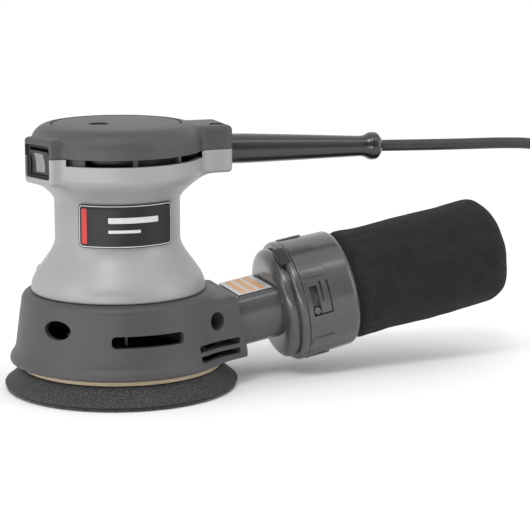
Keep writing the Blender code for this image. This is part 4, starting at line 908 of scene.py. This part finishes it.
# ---- Dust tube ----
# A glossy smoke-grey tube with a flat top and a round belly, moulded with the adapter and pushed into the
# shroud's outlet. A paper label covers its top, with three plain orange bars.
ADAPTER_START, FLANGE_FOOT, FLANGE_END = 21.5, 28.9, 33.1
smoke = moulded("smoke_plastic", (0.060, 0.060, 0.063), 0.26, grain=0.9, depth=0.035, spread=0.5, cloud=0.15,
                coat_weight=0.5, coat_roughness=0.16)
TUBE_WALL = 2.2
tube = made_object("suction_tube", slab(tube_outline(0, 48), -7, ADAPTER_START + 6, dust), smoke)
carve(tube, slab(tube_outline(-TUBE_WALL, 48), -60, 60, dust))
seated(tube, "canister", "smoke_plastic", "dust_tube")

paper = finish("label_paper", drift=(5, (0.46, 0.46, 0.47), (0.56, 0.56, 0.57)), roughness=0.35, coat_weight=0.4)[0]
orange = finish("label_orange", drift=(2, (0.62, 0.29, 0.08), (0.72, 0.38, 0.13)), roughness=0.35)[0]
label = made_object("label", slab(pill(0.175, 17.4, 0.1), 1.0, ADAPTER_START - 1.2,
                                  dust @ Matrix.Translation((-14.275 * MM, 0, 0))), paper)
seated(label, "canister", "label_film", "tube_label")
for index, foot in enumerate((3.4, 8.6, 13.8)):
    bar = made_object(f"label_bar_{index + 1}", slab(
        [(-0.02, -15.6), (0.04, -15.6), (0.04, 15.6), (-0.02, 15.6)], foot, foot + 3.4,
        dust @ Matrix.Translation((-14.5 * MM, 0, 0))), orange)
    seated(bar, "canister", "label_film")

# ---- Bag adapter ----
# The round end of the canister's neck: a domed face, a flange whose rim meets the bag ring, a spigot with
# three bayonet pins inside the ring, and a glossy latch tab.
SPIGOT_RADIUS, FLANGE_RADIUS, SPIGOT_END = 29.5, 33.3, 47.1
PIN_ANGLES = [-88 + 120 * i for i in range(3)]
adapter = made_object("adapter", laid(turned(eased([
    (0, SPIGOT_END), (SPIGOT_RADIUS, SPIGOT_END, 0.6), (SPIGOT_RADIUS, FLANGE_END), (FLANGE_RADIUS, FLANGE_END, 0.4),
    (FLANGE_RADIUS, 30.6, 1.6), (31.9, 29.0, 0.6), (29.5, FLANGE_FOOT), (29.5, 28.1), (30.5, 27.9, 0.5),
    (30.3, 24.6, 2.4), (26.4, ADAPTER_START + 0.1, 5), (0, ADAPTER_START)], 6), 192), dust), smoke)
carve(adapter,
      laid(turned([(0, 24.5), (27.3, 24.5), (27.3, 80), (0, 80)], 128), dust),
      slab(tube_outline(0.3, 48), 16.5, 31.5, dust))
carve(adapter, operation="UNION", *[
    laid(turned([(0, 28.5), (1.9, 28.5), (1.9, 32.8), (1.6, 33.1), (0, 33.1)], 40),
         dust @ Matrix.Translation((0, 0, 38.7 * MM)) @ Matrix.Rotation(radians(turn), 4, "Z")
         @ Matrix.Rotation(pi / 2, 4, "Y")) for turn in PIN_ANGLES])
seated(adapter, "canister", "smoke_plastic", "bag_adapter")
repaint(relief_rubber, "tube_seal", "brake_seal")


def on_barrel(angle, along, radius):
    """A frame on a round piece of the dust axis: X out of it, Y round it and Z along it, rearwards."""
    return dust @ Matrix.Rotation(radians(angle), 4, "Z") @ Matrix.Translation((radius * MM, 0, along * MM))


tab = made_object("latch_tab", laid(block((-1.6, -6.4, -3.4), (1.1, 6.4, 3.2), 0.7, 4),
                                    on_barrel(-152, 29.6, 32.2)), black)
seated(tab, "canister", "black_plastic")

# ---- Bag ring ----
# The smoke-grey ring of the bag: eight low grip ribs round its front half and three bayonet windows, in
# which the adapter's pins show. A twist of 20 degrees frees it.
RING_START, RING_END = 33.5, 64.0
RING_RADIUS, RING_END_RADIUS, BAG_NECK = 33.0, 32.2, 28.2
ring = made_object("grip_ring", laid(turned(eased([
    (SPIGOT_RADIUS + 0.3, RING_START), (RING_RADIUS, RING_START, 0.5), (RING_END_RADIUS, RING_END - 2.2, 1.8),
    (RING_END_RADIUS - 2.2, RING_END, 1.4), (BAG_NECK + 0.3, RING_END), (BAG_NECK + 0.3, RING_END - 2),
    (SPIGOT_RADIUS + 0.3, RING_END - 2)], 6), 240, ring=True), dust), smoke)
ribs = []
for angle in (-190, -158, -126, -54, -18, 50, 86, 122):
    rib = slab([(x * 0.92, y) for x, y in pill(3.3, 7.1, 2.6, 6)], -2.0, 0.55)
    top_edges = [e for e in rib.edges if all(v.co.z > 0 for v in e.verts)]
    bmesh.ops.bevel(rib, geom=top_edges, offset=0.45 * MM, segments=3, profile=0.5, affect="EDGES", material=-1)
    ribs.append(laid(rib, on_barrel(angle, RING_START + 7.6, RING_RADIUS) @ OUTWARDS))
carve(ring, *ribs, operation="UNION")
for turn in PIN_ANGLES:
    carve(ring, slab(sector(26.5, 37, turn - 24.6, turn + 4.6), 36.4, 41.0, dust))
    carve(ring,
          slab(sector(31.3, 37, turn - 27.5, turn + 4.6), 46.6, 47.7, dust),
          slab(sector(31.3, 37, turn + 2.8, turn + 4.7), 40.9, 47.6, dust),
          slab(sector(31.3, 37, turn - 27.5, turn - 9), 42.4, 43.7, dust))
seated(ring, "bag", "smoke_plastic", "bag_ring")

# ---- Dust bag ----
# A tube of close-woven black twill with a lengthwise seam and a rounded end, held in the ring by a wire
# hoop. Dust and handling leave it slightly uneven.
BAG_RADIUS, BAG_END, CLOTH, END_EASING = 30.3, 158.5, 1.2, 13
SEAM_ANGLE, SEAM_HALF_WIDTH = radians(118), 2.6
bag_line = [(BAG_NECK, 57.0), (BAG_NECK, RING_END - 0.2), (BAG_NECK + 0.2, RING_END + 0.6),
            (BAG_RADIUS - 1.2, RING_END + 2.2), (BAG_RADIUS - 0.3, RING_END + 3.6)]
bag_line += [(BAG_RADIUS, RING_END + 5 + 1.2 * i) for i in range(64)]
bag_line += [(BAG_RADIUS - END_EASING + END_EASING * cos(radians(a)), BAG_END - 12.5 + 12 * sin(radians(a)))
             for a in range(3, 88, 5)]
bag_line += [(15.5 - 1.55 * i, BAG_END - 0.45 + 0.45 * sin(i / 10 * pi / 2)) for i in range(10)] + [(0, BAG_END)]
bag_line = [(min(r, BAG_RADIUS), z) for r, z in bag_line]
inner_line = [(max(r - CLOTH, 0), z - (CLOTH if r < BAG_RADIUS - 0.1 and z > 120 else 0)) for r, z in bag_line]
bm = turned(bag_line + [(0, BAG_END - CLOTH), *reversed(inner_line[:-1])], 240)
for v in bm.verts:
    if v.co.z < (RING_END + 1) * MM:
        continue
    radius, turn, along = hypot(v.co.x, v.co.y) / MM, atan2(v.co.y, v.co.x), v.co.z / MM
    ease = smooth((along - RING_END - 1) / 12)
    spot = Vector((cos(turn) * 1.3, sin(turn) * 1.3, along / 26))
    push = noise.noise(spot) * 0.9 + noise.noise(spot * 2.7) * 0.35
    push += 0.30 * (1 - smooth((along - 66) / 26)) * sin(turn * 26 + along * 0.02)
    seam = 0.5 * max(0.0, 1 - abs((turn - SEAM_ANGLE + pi) % (2 * pi) - pi) * 30 / SEAM_HALF_WIDTH)
    scale = ease * (push - 0.55 + seam) / BAG_RADIUS
    v.co.x += v.co.x * scale
    v.co.y += v.co.y * scale
    v.co.z += (noise.noise(spot * 1.7) - 0.2) * 0.7 * MM * smooth((along - 138) / 18)
cloth = bm.loops.layers.uv.new("UVMap")
for face in bm.faces:
    middle = face.calc_center_median()
    flat = abs(face.normal.z) > 0.75 and middle.z > 0.14
    base = atan2(middle.y, middle.x)
    for loop in face.loops:
        spot = loop.vert.co / MM
        if flat:
            loop[cloth].uv = (spot.x * 0.01, spot.y * 0.01)
        else:
            turn = atan2(spot.y, spot.x) if hypot(spot.x, spot.y) > 0.01 else base
            turn += 2 * pi * round((base - turn) / (2 * pi))
            loop[cloth].uv = (turn * 0.303, spot.z * 0.01)
twill, shader, place = finish("bag_twill", "UV", roughness=0.9, specular_ior_level=0.12, sheen_weight=0.04)
weave = place.node("ShaderNodeTexWave", {"wave_type": "BANDS", "bands_direction": "DIAGONAL"},
                   {"Vector": place, "Scale": 38.0, "Distortion": 0.6, "Detail": 2.0, "Detail Scale": 30.0}, 1)
threads = place.node("ShaderNodeTexWave", {"wave_type": "BANDS", "bands_direction": "X"},
                     {"Vector": place, "Scale": 60.0, "Distortion": 0.5, "Detail": 1.0}, 1)
fuzz = place.node("ShaderNodeTexNoise", None, {"Vector": place, "Scale": 9.0, "Detail": 4.0, "Roughness": 0.7})
height = weave * 0.6 + threads * 0.15 + fuzz * 0.35
feed(shader,
     base_color=height.ramp((0.25, 0.002), (0.5, 0.008), (0.8, 0.042)),
     normal=height.bump(0.3))
bag = made_object("bag_cloth", laid(bm, dust), twill)
seated(bag, "bag", "bag_fabric", "filter_bag")
repaint(screw_steel, "bag_hoop")

# ---- Motor ----
# The fan, weights, bearings, windings and brushes seen through the vents and from below. They keep their
# shapes and get their own metals, enamel, carbon and plastics, but the fan and the upper bracket are painted dark as
# painted shade for the inside seen through the slots.
for name, drift, gloss, pieces in (
        ("ground_steel", (8, (0.50, 0.50, 0.51), (0.60, 0.60, 0.61)), (1.3, 0.18, 0.16),
         ("motor_shaft", "pad_bearing", "lower_bearing", "upper_bearing")),
        ("weight_brass", (6, (0.56, 0.42, 0.20), (0.70, 0.54, 0.28)), (1.5, 0.2, 0.25),
         ("counterweight", "brush_holder_left", "brush_holder_right")),
        ("commutator_copper", (4, (0.50, 0.24, 0.12), (0.66, 0.34, 0.18)), (0.8, 0.2, 0.2), ("commutator",))):
    repaint(finish(name, drift=drift, gloss=gloss, metallic=1.0)[0], *pieces)
repaint(finish("cast_aluminium", drift=(5, (0.34, 0.345, 0.35), (0.46, 0.465, 0.47)), gloss=(0.9, 0.25, 0.33),
               grain=(0.7, 0.05), metallic=1.0)[0], "pad_hub")
plates, shader, place = finish("core_plates", metallic=0.9)
leaves = place.node("ShaderNodeTexWave", {"bands_direction": "Z"}, {"Vector": place, "Scale": 320.0})
feed(shader, base_color=leaves.mix((0.10, 0.10, 0.105), (0.24, 0.24, 0.25)), roughness=leaves * 0.2 + 0.4,
     normal=leaves.bump(0.1))
repaint(plates, "armature_core", "stator_core")
enamel, shader, place = finish("copper_enamel", metallic=0.8, coat_weight=0.5)
strands = place.node("ShaderNodeTexWave", {"bands_direction": "DIAGONAL"},
                     {"Vector": place, "Scale": 420.0, "Distortion": 2.0})
feed(shader, base_color=strands.mix((0.30, 0.10, 0.04), (0.62, 0.26, 0.10)), roughness=strands * 0.2 + 0.25,
     normal=strands.bump(0.25))
repaint(enamel, *[f"{kind}_winding_{end}" for kind in ("armature", "field") for end in ("lower", "upper")])
repaint(finish("brush_carbon", drift=(0.6, (0.02, 0.02, 0.021), (0.05, 0.05, 0.052)), gloss=(0.9, 0.2, 0.5))[0],
        "carbon_brush_left", "carbon_brush_right")
# Painted shade: the fan is painted black and the upper bracket charcoal, so the inside seen through the slots stays
# dark.
repaint(black, "fan")
repaint(charcoal, "bearing_plate", "upper_bracket", "pad_plate")

low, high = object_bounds()
